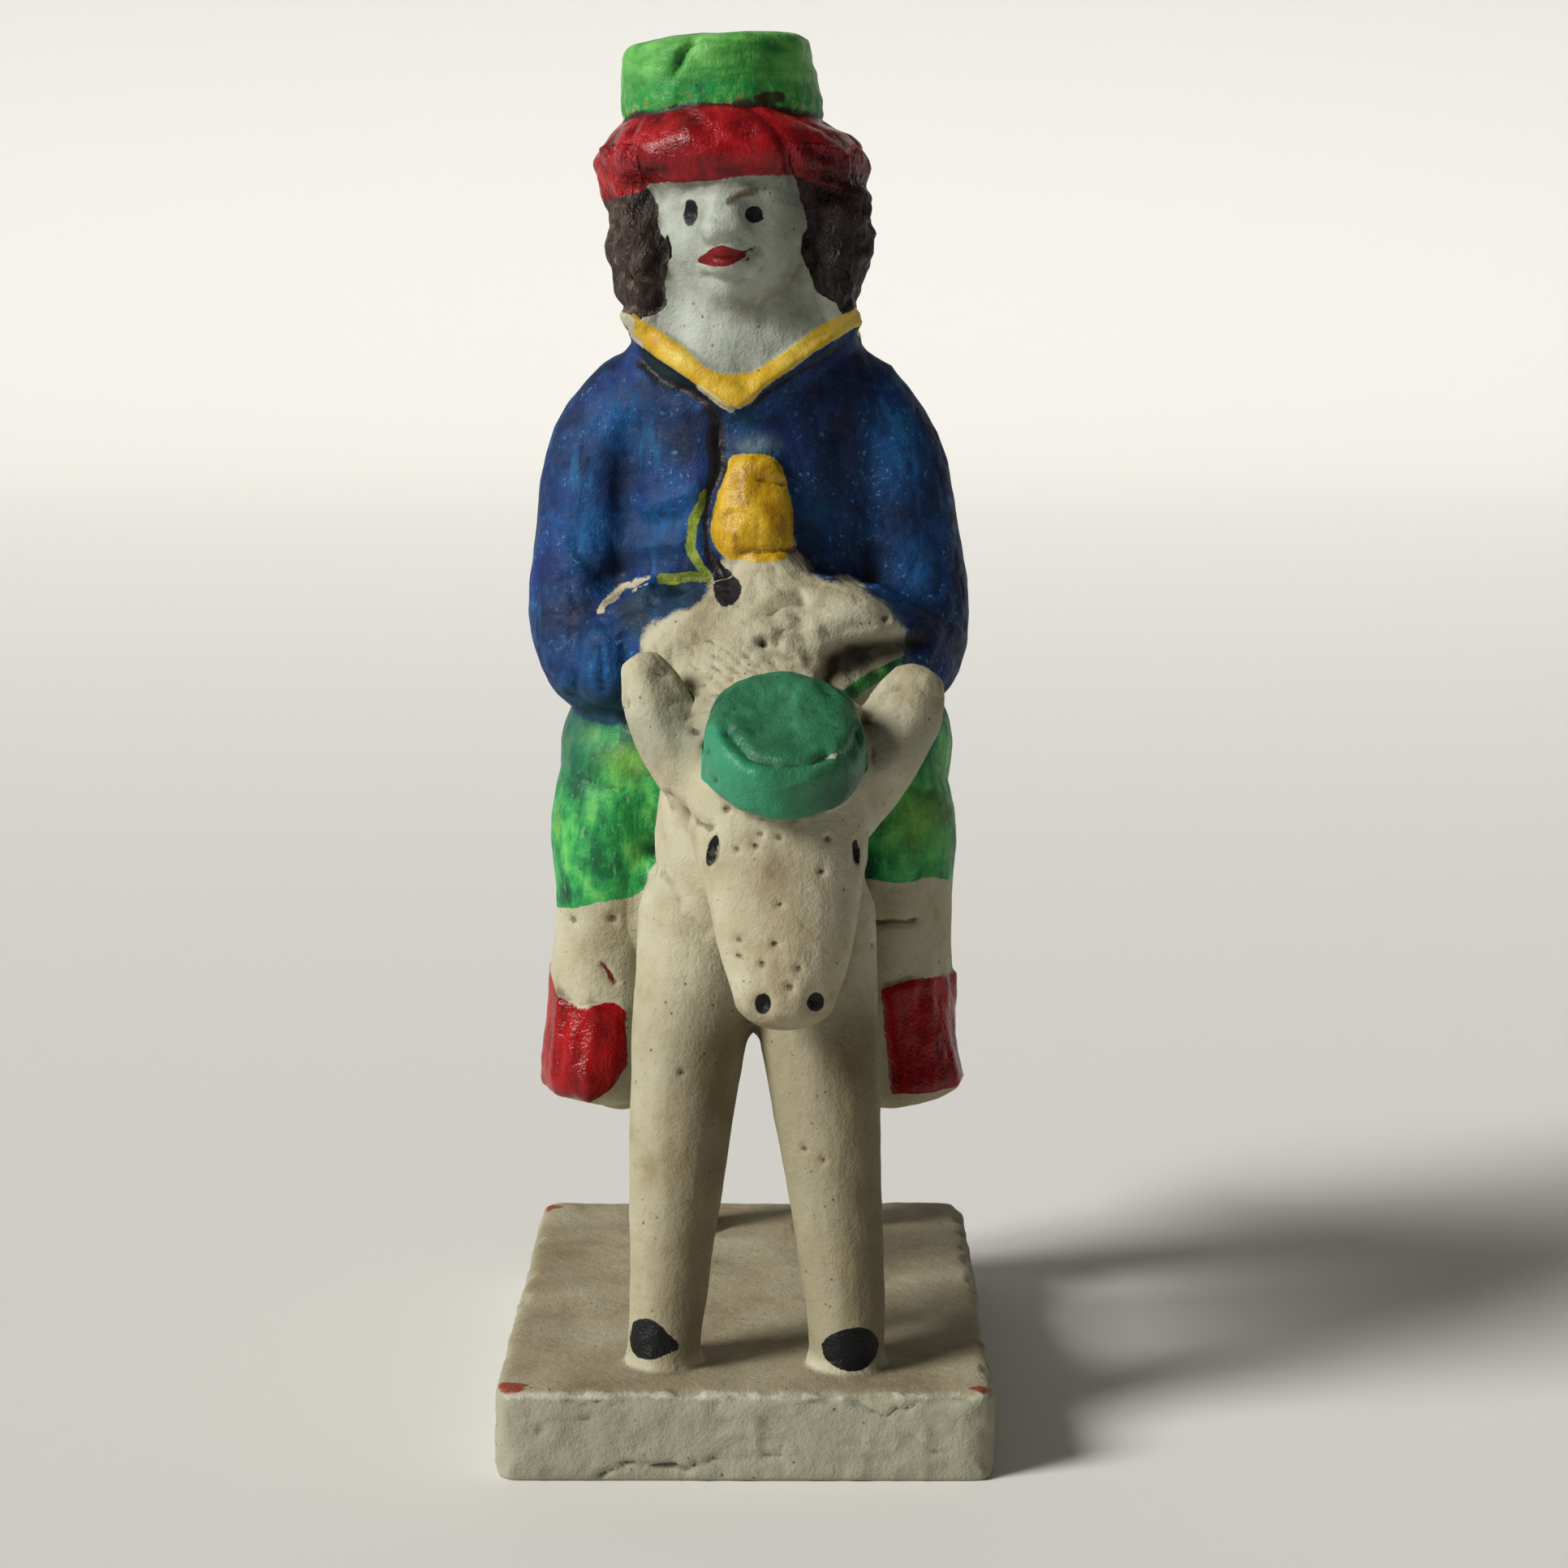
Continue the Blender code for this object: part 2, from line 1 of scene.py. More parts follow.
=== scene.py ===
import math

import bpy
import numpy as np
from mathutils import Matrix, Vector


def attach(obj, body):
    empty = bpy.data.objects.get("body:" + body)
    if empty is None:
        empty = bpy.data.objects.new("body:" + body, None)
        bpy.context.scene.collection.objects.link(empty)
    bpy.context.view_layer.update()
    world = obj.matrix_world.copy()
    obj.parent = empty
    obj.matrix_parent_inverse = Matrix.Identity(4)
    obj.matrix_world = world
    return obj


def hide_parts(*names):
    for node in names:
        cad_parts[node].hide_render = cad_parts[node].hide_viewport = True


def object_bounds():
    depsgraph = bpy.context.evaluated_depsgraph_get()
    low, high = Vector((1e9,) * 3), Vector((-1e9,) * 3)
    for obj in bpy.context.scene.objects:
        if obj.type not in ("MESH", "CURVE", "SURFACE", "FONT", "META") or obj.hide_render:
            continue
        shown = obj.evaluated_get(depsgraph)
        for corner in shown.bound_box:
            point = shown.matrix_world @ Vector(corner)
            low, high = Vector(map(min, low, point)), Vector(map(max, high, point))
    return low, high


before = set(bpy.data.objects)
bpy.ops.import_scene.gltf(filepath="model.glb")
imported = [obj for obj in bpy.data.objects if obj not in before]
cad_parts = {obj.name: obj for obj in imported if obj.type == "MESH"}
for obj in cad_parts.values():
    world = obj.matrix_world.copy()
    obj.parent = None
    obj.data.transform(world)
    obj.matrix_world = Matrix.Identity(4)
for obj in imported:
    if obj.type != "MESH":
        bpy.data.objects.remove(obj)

# Some colour stands in for light: painted shade in creases, hollows, under the right hand and down shaded sides, and
# painted highlights on the pompon's lip, the jacket's flecks, the slab's edges and the left eye.
# The looks of a fired-clay whistle: a rider in a rolled-brim hat on a horse, on a slab.
# The imported solid is skinned again at a finer step, its clay is pressed, creased and
# chipped by relief, and it is painted in coats as the potter painted it.
# Forms are in millimetres from the middle of the slab's top; the rider faces -Y.

CAD_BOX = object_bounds()

MILLIMETRE = 0.001
SLAB_THICKNESS = 11.5
SLAB_HALF_WIDTH = 31.0
SLAB_HALF_LENGTH = 44.0
FIGURE_MIDDLE = (0.0, 0.0, 0.09)

# How finely the clay is modelled
SKIN_STEP = 0.46
FACET_PASSES = 16
SHARPEN = 0.55
TRIANGLES = 194000

# Sections of the clay lumps: x, y, z of the middle, then half the width and half the depth.
TORSO = [(1.0, 2.0, 60.0, 23.4, 14.0), (1.0, 1.5, 77.0, 25.8, 15.5), (0.5, 1.0, 90.0, 20.0, 15.0),
         (0.0, 1.0, 103.0, 19.0, 13.6), (0.2, 1.0, 114.0, 19.5, 12.5), (-0.1, 0.5, 126.0, 15.8, 10.6),
         (-0.1, 0.5, 130.0, 13.2, 9.4)]
HAT_CROWN = [(-2.9, 0.4, 150.0, 13.4, 13.0), (-3.7, 0.4, 160.5, 12.6, 12.4), (-4.0, 0.4, 165.0, 12.2, 12.0)]
ARM_LEFT = [(-12.5, 1.5, 119.0, 8.4, 7.6), (-17.9, 1.2, 112.5, 8.5, 8.0), (-20.2, 1.0, 102.0, 7.8, 8.4),
            (-21.2, 0.0, 93.0, 7.8, 8.8), (-19.4, -4.0, 87.2, 7.9, 8.4), (-15.2, -9.0, 87.0, 7.6, 7.0),
            (-9.5, -11.6, 92.0, 6.2, 5.6)]
ARM_RIGHT = [(12.5, 1.5, 119.0, 8.4, 7.6), (17.4, 1.2, 112.0, 8.4, 8.0), (19.8, 1.0, 102.0, 8.0, 8.4),
             (21.2, 0.0, 93.0, 7.9, 8.8), (20.3, -4.0, 87.4, 8.0, 8.4), (18.0, -9.0, 88.0, 7.6, 7.0),
             (13.6, -11.6, 92.0, 6.2, 5.6)]
HAND_LEFT = [(-10.0, -14.0, 86.0, 5.4, 5.6), (-2.6, -16.0, 92.0, 5.6, 5.8), (2.6, -14.6, 92.6, 5.0, 5.4)]
HAND_RIGHT = [(16.4, -14.0, 87.4, 5.0, 5.4), (10.0, -16.0, 92.6, 5.6, 5.8), (4.4, -14.6, 93.4, 5.0, 5.4)]
LEG_LEFT = [(-14.0, 1.0, 74.0, 10.0, 11.0), (-17.6, -1.0, 64.0, 8.6, 10.5), (-17.8, -1.5, 54.0, 7.6, 9.4),
            (-18.4, -1.5, 43.0, 8.0, 8.6), (-19.6, -2.5, 34.0, 7.0, 8.4), (-20.4, -3.5, 28.5, 6.8, 8.4)]
LEG_RIGHT = [(15.0, 1.0, 74.0, 10.0, 11.0), (18.8, -1.0, 64.0, 8.8, 10.5), (19.2, -1.5, 54.0, 7.8, 9.4),
             (19.6, -1.5, 43.0, 7.4, 8.6), (21.0, -2.5, 34.0, 6.8, 8.4), (22.2, -3.5, 28.5, 6.8, 8.4)]
HEEL_LEFT = [(-17.6, 3.0, 36.0, 6.0, 6.0), (-17.2, 4.0, 27.0, 4.8, 5.4)]
HEEL_RIGHT = [(18.0, 3.0, 36.0, 6.0, 6.0), (18.4, 4.0, 28.5, 4.8, 5.4)]
HORSE_BODY = [(1.4, -20.0, 52.0, 11.5, 11.0), (1.4, -12.0, 54.0, 13.5, 13.0), (1.2, 16.0, 55.0, 13.0, 13.0),
              (1.4, 26.0, 55.5, 13.0, 13.0), (1.4, 32.0, 55.0, 10.5, 10.5)]
HORSE_NECK = [(1.6, -22.0, 55.5, 10.6, 8.6), (1.8, -22.5, 63.0, 13.6, 9.6), (2.4, -20.5, 74.0, 13.2, 9.0),
              (3.0, -17.0, 84.0, 13.4, 8.6), (3.2, -15.0, 91.0, 11.6, 8.0), (2.8, -12.6, 97.6, 5.4, 5.0)]
HORSE_HEAD = [(4.2, -26.0, 80.0, 10.2, 7.0), (4.2, -29.0, 74.0, 11.6, 8.0), (4.4, -31.4, 68.0, 11.2, 7.8),
              (4.8, -34.4, 61.0, 9.7, 6.8), (5.0, -37.0, 54.0, 8.1, 5.8), (5.0, -38.8, 48.9, 6.6, 5.2)]
EAR_LEFT = [(-2.5, -28.0, 69.0, 4.2, 3.6), (-6.6, -27.5, 74.6, 4.8, 3.4), (-9.6, -27.0, 80.0, 4.7, 3.0),
            (-11.6, -26.4, 84.6, 4.2, 2.7), (-13.0, -25.8, 88.2, 3.0, 2.2)]
EAR_RIGHT = [(11.5, -28.0, 68.0, 4.2, 3.6), (15.0, -27.5, 73.4, 4.8, 3.4), (18.2, -27.0, 78.8, 5.0, 3.0),
             (20.4, -26.4, 83.2, 4.8, 2.7), (21.9, -25.8, 86.4, 3.4, 2.2)]
FORELEG_LEFT = [(-5.6, -22.0, 56.0, 8.2, 8.0), (-7.2, -25.5, 40.0, 7.3, 7.0), (-8.8, -29.0, 22.0, 5.9, 5.8),
                (-10.4, -32.4, -1.0, 4.6, 5.0)]
FORELEG_RIGHT = [(8.2, -22.0, 56.0, 8.2, 8.0), (9.3, -25.5, 40.0, 7.5, 7.0), (11.2, -29.0, 22.0, 6.0, 5.8),
                 (12.9, -33.0, -1.0, 4.9, 5.2)]
HINDLEG_LEFT = [(-4.6, 23.0, 56.0, 8.4, 10.0), (-6.8, 26.0, 40.0, 7.0, 8.4), (-9.0, 30.0, -1.0, 4.6, 5.0)]
HINDLEG_RIGHT = [(7.4, 23.0, 56.0, 8.4, 10.0), (9.4, 26.0, 40.0, 7.0, 8.4), (11.6, 30.0, -1.0, 4.6, 5.0)]
WHISTLE = [(1.4, 18.0, 55.0, 8.0, 8.0), (1.4, 54.0, 55.0, 7.6, 7.0)]

RIDER = [TORSO, ARM_LEFT, ARM_RIGHT, LEG_LEFT, LEG_RIGHT, HEEL_LEFT, HEEL_RIGHT, HAND_LEFT, HAND_RIGHT]
HORSE = [HORSE_BODY, HORSE_NECK, HORSE_HEAD, EAR_LEFT, EAR_RIGHT, FORELEG_LEFT, FORELEG_RIGHT,
         HINDLEG_LEFT, HINDLEG_RIGHT, WHISTLE]

# The rolled brim and the pompon
BRIM_MIDDLE = (-1.9, 0.6, 151.2)
BRIM_HALF_WIDTH = 12.4
BRIM_HALF_DEPTH = 11.6
BRIM_ROLL = 5.1
BRIM_DROOP = 2.2
BRIM_TWISTS = 11
POMPON_MIDDLE = (4.9, -36.8, 78.8)
POMPON_RADIUS = 9.8
POMPON_THICKNESS = 9.2
POMPON_LEAN = math.radians(30)

# Edges of the paint, seen from the front, as x and z
FACE_LEFT = [(-14.4, 127.0), (-13.6, 130.4), (-12.8, 130.7), (-11.5, 131.0), (-10.3, 132.2), (-10.7, 134.7),
             (-9.9, 136.5), (-9.6, 138.2), (-9.8, 139.7), (-10.4, 140.6), (-11.3, 141.3), (-11.1, 144.3),
             (-11.7, 145.8), (-12.6, 147.2), (-13.4, 150.0)]
FACE_RIGHT = [(13.4, 127.0), (12.6, 130.3), (11.6, 132.2), (10.1, 133.0), (8.7, 134.0), (8.2, 135.7), (7.0, 138.7),
              (6.7, 140.6), (7.5, 141.4), (7.4, 143.6), (6.6, 146.6), (5.7, 148.3), (5.4, 150.0)]
COLLAR_TOP = [(-15.0, 131.4), (-13.8, 130.6), (-11.3, 129.0), (-6.6, 125.5), (-4.2, 123.9), (-2.3, 123.3),
              (0.5, 123.5), (4.3, 125.8), (8.3, 128.7), (12.5, 131.0), (14.0, 131.6)]
COLLAR_FOOT = [(-15.6, 128.6), (-15.0, 128.0), (-13.0, 126.3), (-7.6, 122.9), (-3.2, 119.7), (-0.9, 119.0),
               (0.6, 119.8), (2.2, 121.7), (6.6, 124.5), (8.3, 125.9), (13.8, 129.1)]
LAPEL = [(-16.2, 127.0), (-15.9, 126.3), (-11.2, 122.6), (-7.6, 121.2), (-5.2, 119.9), (-3.8, 117.5),
         (-3.8, 114.2), (-3.5, 111.7), (-4.8, 108.1), (-5.2, 104.6), (-5.0, 101.1), (-3.8, 98.8), (-2.3, 96.5)]
LAPEL_RIGHT = [(0.4, 119.0), (3.2, 121.4), (7.6, 124.0), (13.6, 127.9)]
JACKET_EDGE = [(-5.2, 108.1), (-6.9, 104.6), (-7.3, 101.2), (-6.1, 99.3), (-4.9, 97.9)]
CUFF_EDGE = [(-4.9, 97.6), (-10.9, 97.3)]
TIE = [(-1.6, 113.4), (3.1, 113.4), (4.8, 111.5), (6.0, 105.9), (6.2, 100.5), (1.9, 99.7), (-0.4, 100.1),
       (-2.8, 100.1), (-4.2, 101.9), (-4.7, 104.5), (-3.3, 109.4), (-2.3, 112.2)]
MANE = [(-13.8, 89.9), (-12.4, 91.8), (-10.0, 93.7), (-6.3, 94.7), (-4.5, 97.5), (-3.4, 99.8), (0.0, 100.3),
        (6.2, 100.2), (7.5, 98.6), (9.8, 97.7), (12.6, 97.3), (15.2, 96.6), (17.8, 94.6), (19.2, 92.2),
        (20.6, 91.0), (19.0, 84.0), (0.0, 80.0), (-13.0, 84.0)]
CUFF_CHIP = [(-13.3, 97.3), (-15.5, 96.1), (-16.9, 95.2), (-18.9, 93.4)]
TROUSER_FOOT = [(-27.0, 53.0), (-24.9, 53.3), (-19.0, 55.0), (-15.1, 55.6), (-13.0, 56.9), (0.0, 58.0),
                (15.3, 58.2), (19.6, 57.5), (23.8, 57.9), (26.9, 56.9)]
BOOT_TOP = [(-27.0, 46.5), (-26.2, 45.2), (-25.5, 42.0), (-21.8, 40.9), (-19.3, 41.5), (-17.4, 41.8),
            (-15.5, 40.6), (0.0, 42.0), (17.1, 43.3), (21.4, 44.6), (26.7, 44.3)]
BOOT_FOOT = [(-27.4, 29.3), (-19.9, 28.1), (-17.2, 31.0), (-16.0, 33.0), (0.0, 32.0), (18.0, 29.6), (28.0, 29.8)]
BROW = [(-2.0, 144.9), (-0.6, 145.8), (1.2, 146.4)]
LIPS = [(-6.6, 137.6), (-5.0, 138.5), (-4.0, 139.1), (-3.1, 139.5), (-2.4, 139.2), (-1.4, 139.0), (0.7, 138.6),
        (-0.8, 137.5), (-2.6, 136.8), (-4.6, 136.9)]
SMILE = [(-1.0, 138.4), (0.2, 138.8), (1.3, 139.4)]
CHEEK_LINE = [(1.1, 139.1), (0.8, 138.4), (0.1, 137.5)]
JAW = [(-11.0, 150.0), (-10.6, 141.0), (-8.6, 137.0), (-5.8, 134.2), (-2.6, 132.7), (0.8, 132.7), (4.0, 134.4),
       (6.6, 138.6), (8.4, 143.0), (8.4, 150.0)]
HAIR_GAP = [(-10.1, 140.7), (-9.5, 139.2), (-9.6, 137.9)]
BRIM_FOOT = [(-18.0, 145.2), (-13.5, 146.2), (-12.2, 147.2), (-9.4, 147.3), (-5.4, 147.3), (-1.9, 147.8),
             (1.7, 148.1), (5.9, 148.2), (9.0, 147.0), (13.0, 145.6), (17.0, 144.4)]
UNDER_HAND = [(9.5, 88.5), (12.4, 90.0), (16.1, 90.6), (19.7, 90.8), (22.8, 90.8), (23.4, 89.4), (20.5, 88.3),
              (17.1, 87.3), (13.0, 85.8), (9.9, 84.8)]
GREEN_GAP = [(10.4, 83.7), (13.5, 85.2), (17.1, 87.0), (20.9, 88.5), (20.9, 87.0), (17.6, 85.4), (14.0, 83.4),
             (11.4, 82.2)]
POMPON_CREASE = [(-2.1, 81.8), (0.8, 78.7), (4.1, 77.7), (7.5, 77.9), (10.1, 78.9)]
COLLAR_SHADE = [(-16.2, 128.6), (-15.0, 128.0), (-13.0, 126.3), (-7.6, 122.9), (-3.6, 119.4), (-4.6, 119.2),
                (-7.6, 121.2), (-11.2, 122.6), (-15.9, 126.3)]
HAND_SHADE = [(-4.6, 97.2), (-6.3, 94.7), (-10.0, 93.7), (-12.4, 91.8), (-13.8, 89.9), (-16.6, 93.0),
              (-14.4, 95.6), (-10.9, 96.8)]
HOOF_LEFT = [(-14.7, 4.0), (-14.1, 6.2), (-12.6, 7.1), (-10.6, 6.6), (-9.6, 4.8), (-7.2, 3.3), (-9.6, 2.6),
             (-11.6, 1.8), (-14.0, 1.9)]
HOOF_RIGHT = [(8.9, 2.8), (10.6, 5.2), (13.2, 6.2), (15.8, 5.6), (17.0, 3.2), (16.0, 1.4), (13.4, 0.5),
              (11.0, 1.2)]


def smoothstep(low, high, value):
    """0 below low, 1 above high, and a soft step between them."""
    t = np.clip((value - low) / (high - low), 0.0, 1.0)
    return t * t * (3.0 - 2.0 * t)


def lattice(cells, seed):
    """A repeatable number from 0 to 1 for each whole-numbered cell."""
    mixed = cells.astype(np.int64).astype(np.uint64)
    value = mixed[:, 0] * np.uint64(73856093) ^ mixed[:, 1] * np.uint64(19349663)
    value ^= mixed[:, 2] * np.uint64(83492791) ^ np.uint64(seed * 2654435761)
    value = (value ^ value >> np.uint64(15)) * np.uint64(2246822519)
    value = (value ^ value >> np.uint64(13)) * np.uint64(3266489917)
    return (value >> np.uint64(8) & np.uint64(0xFFFFFF)).astype(float) / 0xFFFFFF


def noise(points, size, seed):
    """Smooth noise from -1 to 1 whose lumps are about size millimetres apart."""
    scaled = points / size
    base = np.floor(scaled)
    ease = scaled - base
    ease = ease * ease * (3.0 - 2.0 * ease)
    total = np.zeros(len(points))
    for corner in range(8):
        step = np.array([corner & 1, corner >> 1 & 1, corner >> 2 & 1])
        weight = np.prod(np.where(step, ease, 1.0 - ease), axis=1)
        total += weight * lattice(base + step, seed)
    return 2.0 * total - 1.0


def from_line(places, line):
    """Distance of flat places from a line of points, and how far along it each is."""
    best = np.full(len(places), 1e9)
    along = np.zeros(len(places))
    run = 0.0
    for start, end in zip(line, line[1:]):
        span = np.subtract(end, start)
        length = np.hypot(*span)
        t = np.clip((places - start) @ span / length ** 2, 0.0, 1.0)
        gap = np.hypot(*(places - start - t[:, None] * span).T)
        nearer = gap < best
        best = np.where(nearer, gap, best)
        along = np.where(nearer, run + t * length, along)
        run += length
    return best, along


def inside(places, corners):
    """How far inside a closed outline with rounded corners each flat place is, negative outside."""
    outline = []
    for here, after in zip(corners, corners[1:] + corners[:1]):
        outline += [tuple(np.add(np.multiply(here, 1.0 - t), np.multiply(after, t))) for t in (0.25, 0.75)]
    gap, _ = from_line(places, outline + outline[:1])
    within = np.zeros(len(places), bool)
    for (x1, z1), (x2, z2) in zip(outline, outline[1:] + outline[:1]):
        if z1 == z2:
            continue
        crosses = (z1 > places[:, 1]) != (z2 > places[:, 1])
        within ^= crosses & (places[:, 0] < x1 + (places[:, 1] - z1) * (x2 - x1) / (z2 - z1))
    return np.where(within, gap, -gap)


def curve(values, line, flip=False):
    """The line's second value at each first value, or the other way round."""
    firsts, seconds = zip(*sorted((b, a) if flip else (a, b) for a, b in line))
    return np.interp(values, firsts, seconds)


def lump_gap(points, stations, side=(1.0, 0.0, 0.0)):
    """About how far points are from the skin of a rolled lump, negative inside."""
    best = np.full(len(points), 1e9)
    for start, end in zip(stations, stations[1:]):
        start, end = np.array(start), np.array(end)
        span = end[:3] - start[:3]
        length = np.linalg.norm(span)
        along = span / length
        across = side - np.dot(side, along) * along
        across /= np.linalg.norm(across)
        deep = np.cross(along, across)
        t = np.clip((points - start[:3]) @ along / length, 0.0, 1.0)
        size = start[3:] + t[:, None] * (end - start)[3:]
        offset = points - start[:3] - t[:, None] * span
        parts = np.stack([offset @ across / size[:, 0], offset @ deep / size[:, 1],
                          offset @ along / (0.6 * size.min(axis=1))])
        ratio = np.sqrt((parts ** 2).sum(axis=0)) + 1e-6
        best = np.minimum(best, np.linalg.norm(offset, axis=1) * (1.0 - 1.0 / ratio))
    return best


def group_gap(points, lumps):
    """Distance from the nearest skin of several lumps."""
    hands = (HAND_LEFT, HAND_RIGHT)
    return np.min([
        lump_gap(points, lump, (0.0, 0.0, 1.0) if lump in hands else (1.0, 0.0, 0.0)) for lump in lumps
    ], axis=0)


def brim_place(points):
    """Turn round the hat, turn round the roll, and distance from the roll's skin."""
    x, y, z = (points - BRIM_MIDDLE).T
    around = np.arctan2(y / BRIM_HALF_DEPTH, x / BRIM_HALF_WIDTH)
    ring = np.hypot(BRIM_HALF_WIDTH * np.cos(around), BRIM_HALF_DEPTH * np.sin(around))
    outward = np.hypot(x, y) - ring
    upward = z + BRIM_DROOP * np.cos(around) ** 2
    return around, np.arctan2(upward, outward), np.hypot(outward, upward) - BRIM_ROLL


def pompon_place(points):
    """Points in the pompon's own frame: across, up its face, and out along its axis."""
    x, y, z = (points - POMPON_MIDDLE).T
    out = -y * math.sin(POMPON_LEAN) + z * math.cos(POMPON_LEAN)
    up = y * math.cos(POMPON_LEAN) + z * math.sin(POMPON_LEAN)
    return x, up, out


def pompon_gap(points):
    """Distance from the pompon's skin, negative inside."""
    across, up, out = pompon_place(points)
    rim = np.hypot(across, up) - POMPON_RADIUS
    face = np.abs(out) - POMPON_THICKNESS / 2
    return np.maximum(rim, face)


def crown_base(points):
    """Height at which the hat's crown leaves the brim."""
    around, _, _ = brim_place(points)
    return 157.0 - 1.6 * np.cos(around) ** 2 + 0.35 * noise(points, 3.0, 5)


def bump_at(places, middle, radius):
    """A soft round mark, 1 at its middle."""
    return np.exp(-((places - middle) ** 2).sum(axis=1) / radius ** 2)


def groove(places, line, width):
    """A soft line, 1 along its middle and fading over its width and at its ends."""
    gap, _ = from_line(places, line)
    return np.exp(-(gap / width) ** 2)


def ridged(points, size, seed):
    """Creased noise: 1 along thin winding lines, falling to 0 between them."""
    return 1.0 - np.minimum(1.0, np.abs(noise(points, size, seed)) * 2.4)


def wandering(places, size, amount, seed):
    """Flat places shifted a little, so that a drawn line wavers like a hand's."""
    flat = np.column_stack([places, np.zeros(len(places))])
    shift = np.column_stack([noise(flat, size, seed), noise(flat, size, seed + 1)])
    return places + amount * shift


def relief(points, normals):
    """How far the hand-pressed clay stands out of the plain form, in millimetres."""
    x, y, z = points.T
    front = points[:, [0, 2]]
    facing = smoothstep(0.05, 0.45, -normals[:, 1])
    wavy = wandering(front, 3.0, 0.35, 31)
    calm = smoothstep(-SLAB_THICKNESS + 0.2, -SLAB_THICKNESS + 2.5, z)
    calm *= 1.0 - 0.8 * smoothstep(24.0, 34.0, y) * smoothstep(44.0, 47.0, z)

    rise = 0.24 * noise(points, 11.0, 1) + 0.11 * noise(points, 4.5, 2) + 0.05 * noise(points, 1.9, 3)

    # The brim: soft diagonal folds all round, and a pinched lower edge
    around, turn, brim_gap = brim_place(points)
    on_brim = smoothstep(1.6, 0.0, np.abs(brim_gap)) * smoothstep(0.3, -0.5, z - crown_base(points))
    phase = BRIM_TWISTS * around + 2.4 * turn + 1.5 * noise(points, 7.0, 11)
    fold = np.exp(-(np.sin(phase / 2) / 0.42) ** 2) * smoothstep(145.0, 149.0, z)
    rise += on_brim * (0.35 * np.abs(np.sin(phase / 2)) - 0.35 * fold * (1.0 + noise(points, 6.0, 10)))
    rise += on_brim * (0.22 * noise(points, 3.0, 12) + 0.06 * noise(points, 1.3, 9))
    rise -= on_brim * 1.3 * smoothstep(149.5, 146.5, z) * smoothstep(2.0, -3.0, y) * smoothstep(-17.0, -13.0, x)
    rise += on_brim * 0.5 * bump_at(front, (-17.6, 146.6), 2.6)
    rise += on_brim * 0.5 * bump_at(front, (-16.6, 155.0), 2.4)

    # The crown: brushed upright clay, a slanting crack, and broken clay at its foot
    crown = smoothstep(-0.2, 0.8, z - crown_base(points)) * smoothstep(150.0, 152.0, z)
    crack = groove(wavy, [(-6.4, 165.6), (-8.9, 161.8), (-9.6, 160.9)], 0.55)
    rise -= crown * facing * 1.1 * crack
    rise += crown * 0.14 * noise(points * (1.0, 1.0, 2.6), 3.0, 13)
    broken = smoothstep(3.2, 0.6, z - crown_base(points)) * smoothstep(0.1, 0.5, noise(points, 2.6, 14))
    rise -= crown * 0.5 * broken
    rise -= 0.35 * np.exp(-((z - crown_base(points)) / 0.45) ** 2) * smoothstep(3.5, 1.5, np.abs(brim_gap))

    # The hair: wavy strands combed down
    hair = hair_field(points)
    on_hair = smoothstep(-0.2, 0.6, hair)
    strand = 10.0 * np.arctan2(y + 1.0, x + 1.0) + 1.9 * np.sin(z / 1.9 + x / 5.0)
    strand += 3.4 * noise(points, 3.4, 15)
    rise += on_hair * (0.45 * np.cos(strand) + 0.45 * ridged(points * (1.0, 1.0, 0.6), 2.4, 24) - 0.3)
    rise += on_hair * 0.40 * noise(points, 1.5, 16)

    # The face: sockets, nose, lips, cheeks and chin
    face = facing * smoothstep(127.0, 130.0, z) * smoothstep(149.0, 147.5, z)
    for eye in ((-7.0, 143.2), (1.0, 143.1)):
        rise -= face * 0.35 * bump_at(front, eye, 2.3)
    rise += face * 0.8 * groove(front, [(-3.2, 145.6), (-3.6, 143.4), (-3.8, 141.6)], 0.95)
    rise += face * 0.5 * bump_at(front, (-3.4, 141.2), 1.2)
    rise -= face * 0.75 * groove(wavy, [(-3.2, 140.1), (-1.2, 140.6)], 0.6)
    rise += face * 0.45 * bump_at(front, (-3.0, 138.3), 1.9)
    rise -= face * 0.35 * groove(front, [(-5.6, 137.6), (-0.8, 138.3)], 0.4)
    rise -= face * 0.3 * groove(front, [(-4.6, 136.2), (-0.8, 136.2)], 0.6)
    rise -= face * 0.35 * groove(wavy, SMILE + [(2.2, 138.2), (1.4, 136.6)], 0.45)
    rise += face * 0.6 * bump_at(front, (-2.4, 134.8), 2.0)
    rise += face * 0.9 * smoothstep(-1.4, 1.2, inside(front, JAW))
    rise -= face * 0.7 * bump_at(front, (3.0, 131.0), 3.2)
    rise += face * 0.30 * groove(front, [(-5.6, 145.6), (-9.0, 145.2)], 0.9)
    rise += face * 0.35 * groove(front, BROW, 0.7)
    rise += face * 0.35 * bump_at(front, (-7.6, 139.6), 2.6)

    # The collar's band, the lapels' edges and the tie
    band = collar_field(points)
    rise += 0.55 * smoothstep(-0.5, 0.7, band)
    lapel = facing * smoothstep(-4.0, -6.0, y)
    rise -= lapel * 0.75 * groove(wavy, LAPEL, 0.75)
    rise -= lapel * 0.45 * groove(wavy, LAPEL_RIGHT, 0.6)
    rise += lapel * 0.35 * groove(front, [(-9.0, 119.2), (-6.4, 113.0), (-6.2, 108.0)], 1.4)
    tie = inside(wavy, TIE)
    rise += lapel * 0.6 * smoothstep(-0.4, 1.2, tie)
    rise -= lapel * 0.7 * groove(wavy, [(1.7, 110.1), (4.3, 109.5)], 0.4)
    rise -= lapel * 0.6 * groove(wavy, [(-0.4, 100.9), (6.0, 101.4)], 0.45)
    rise -= lapel * 0.35 * groove(wavy, [(-1.6, 105.6), (1.8, 105.0)], 0.35)

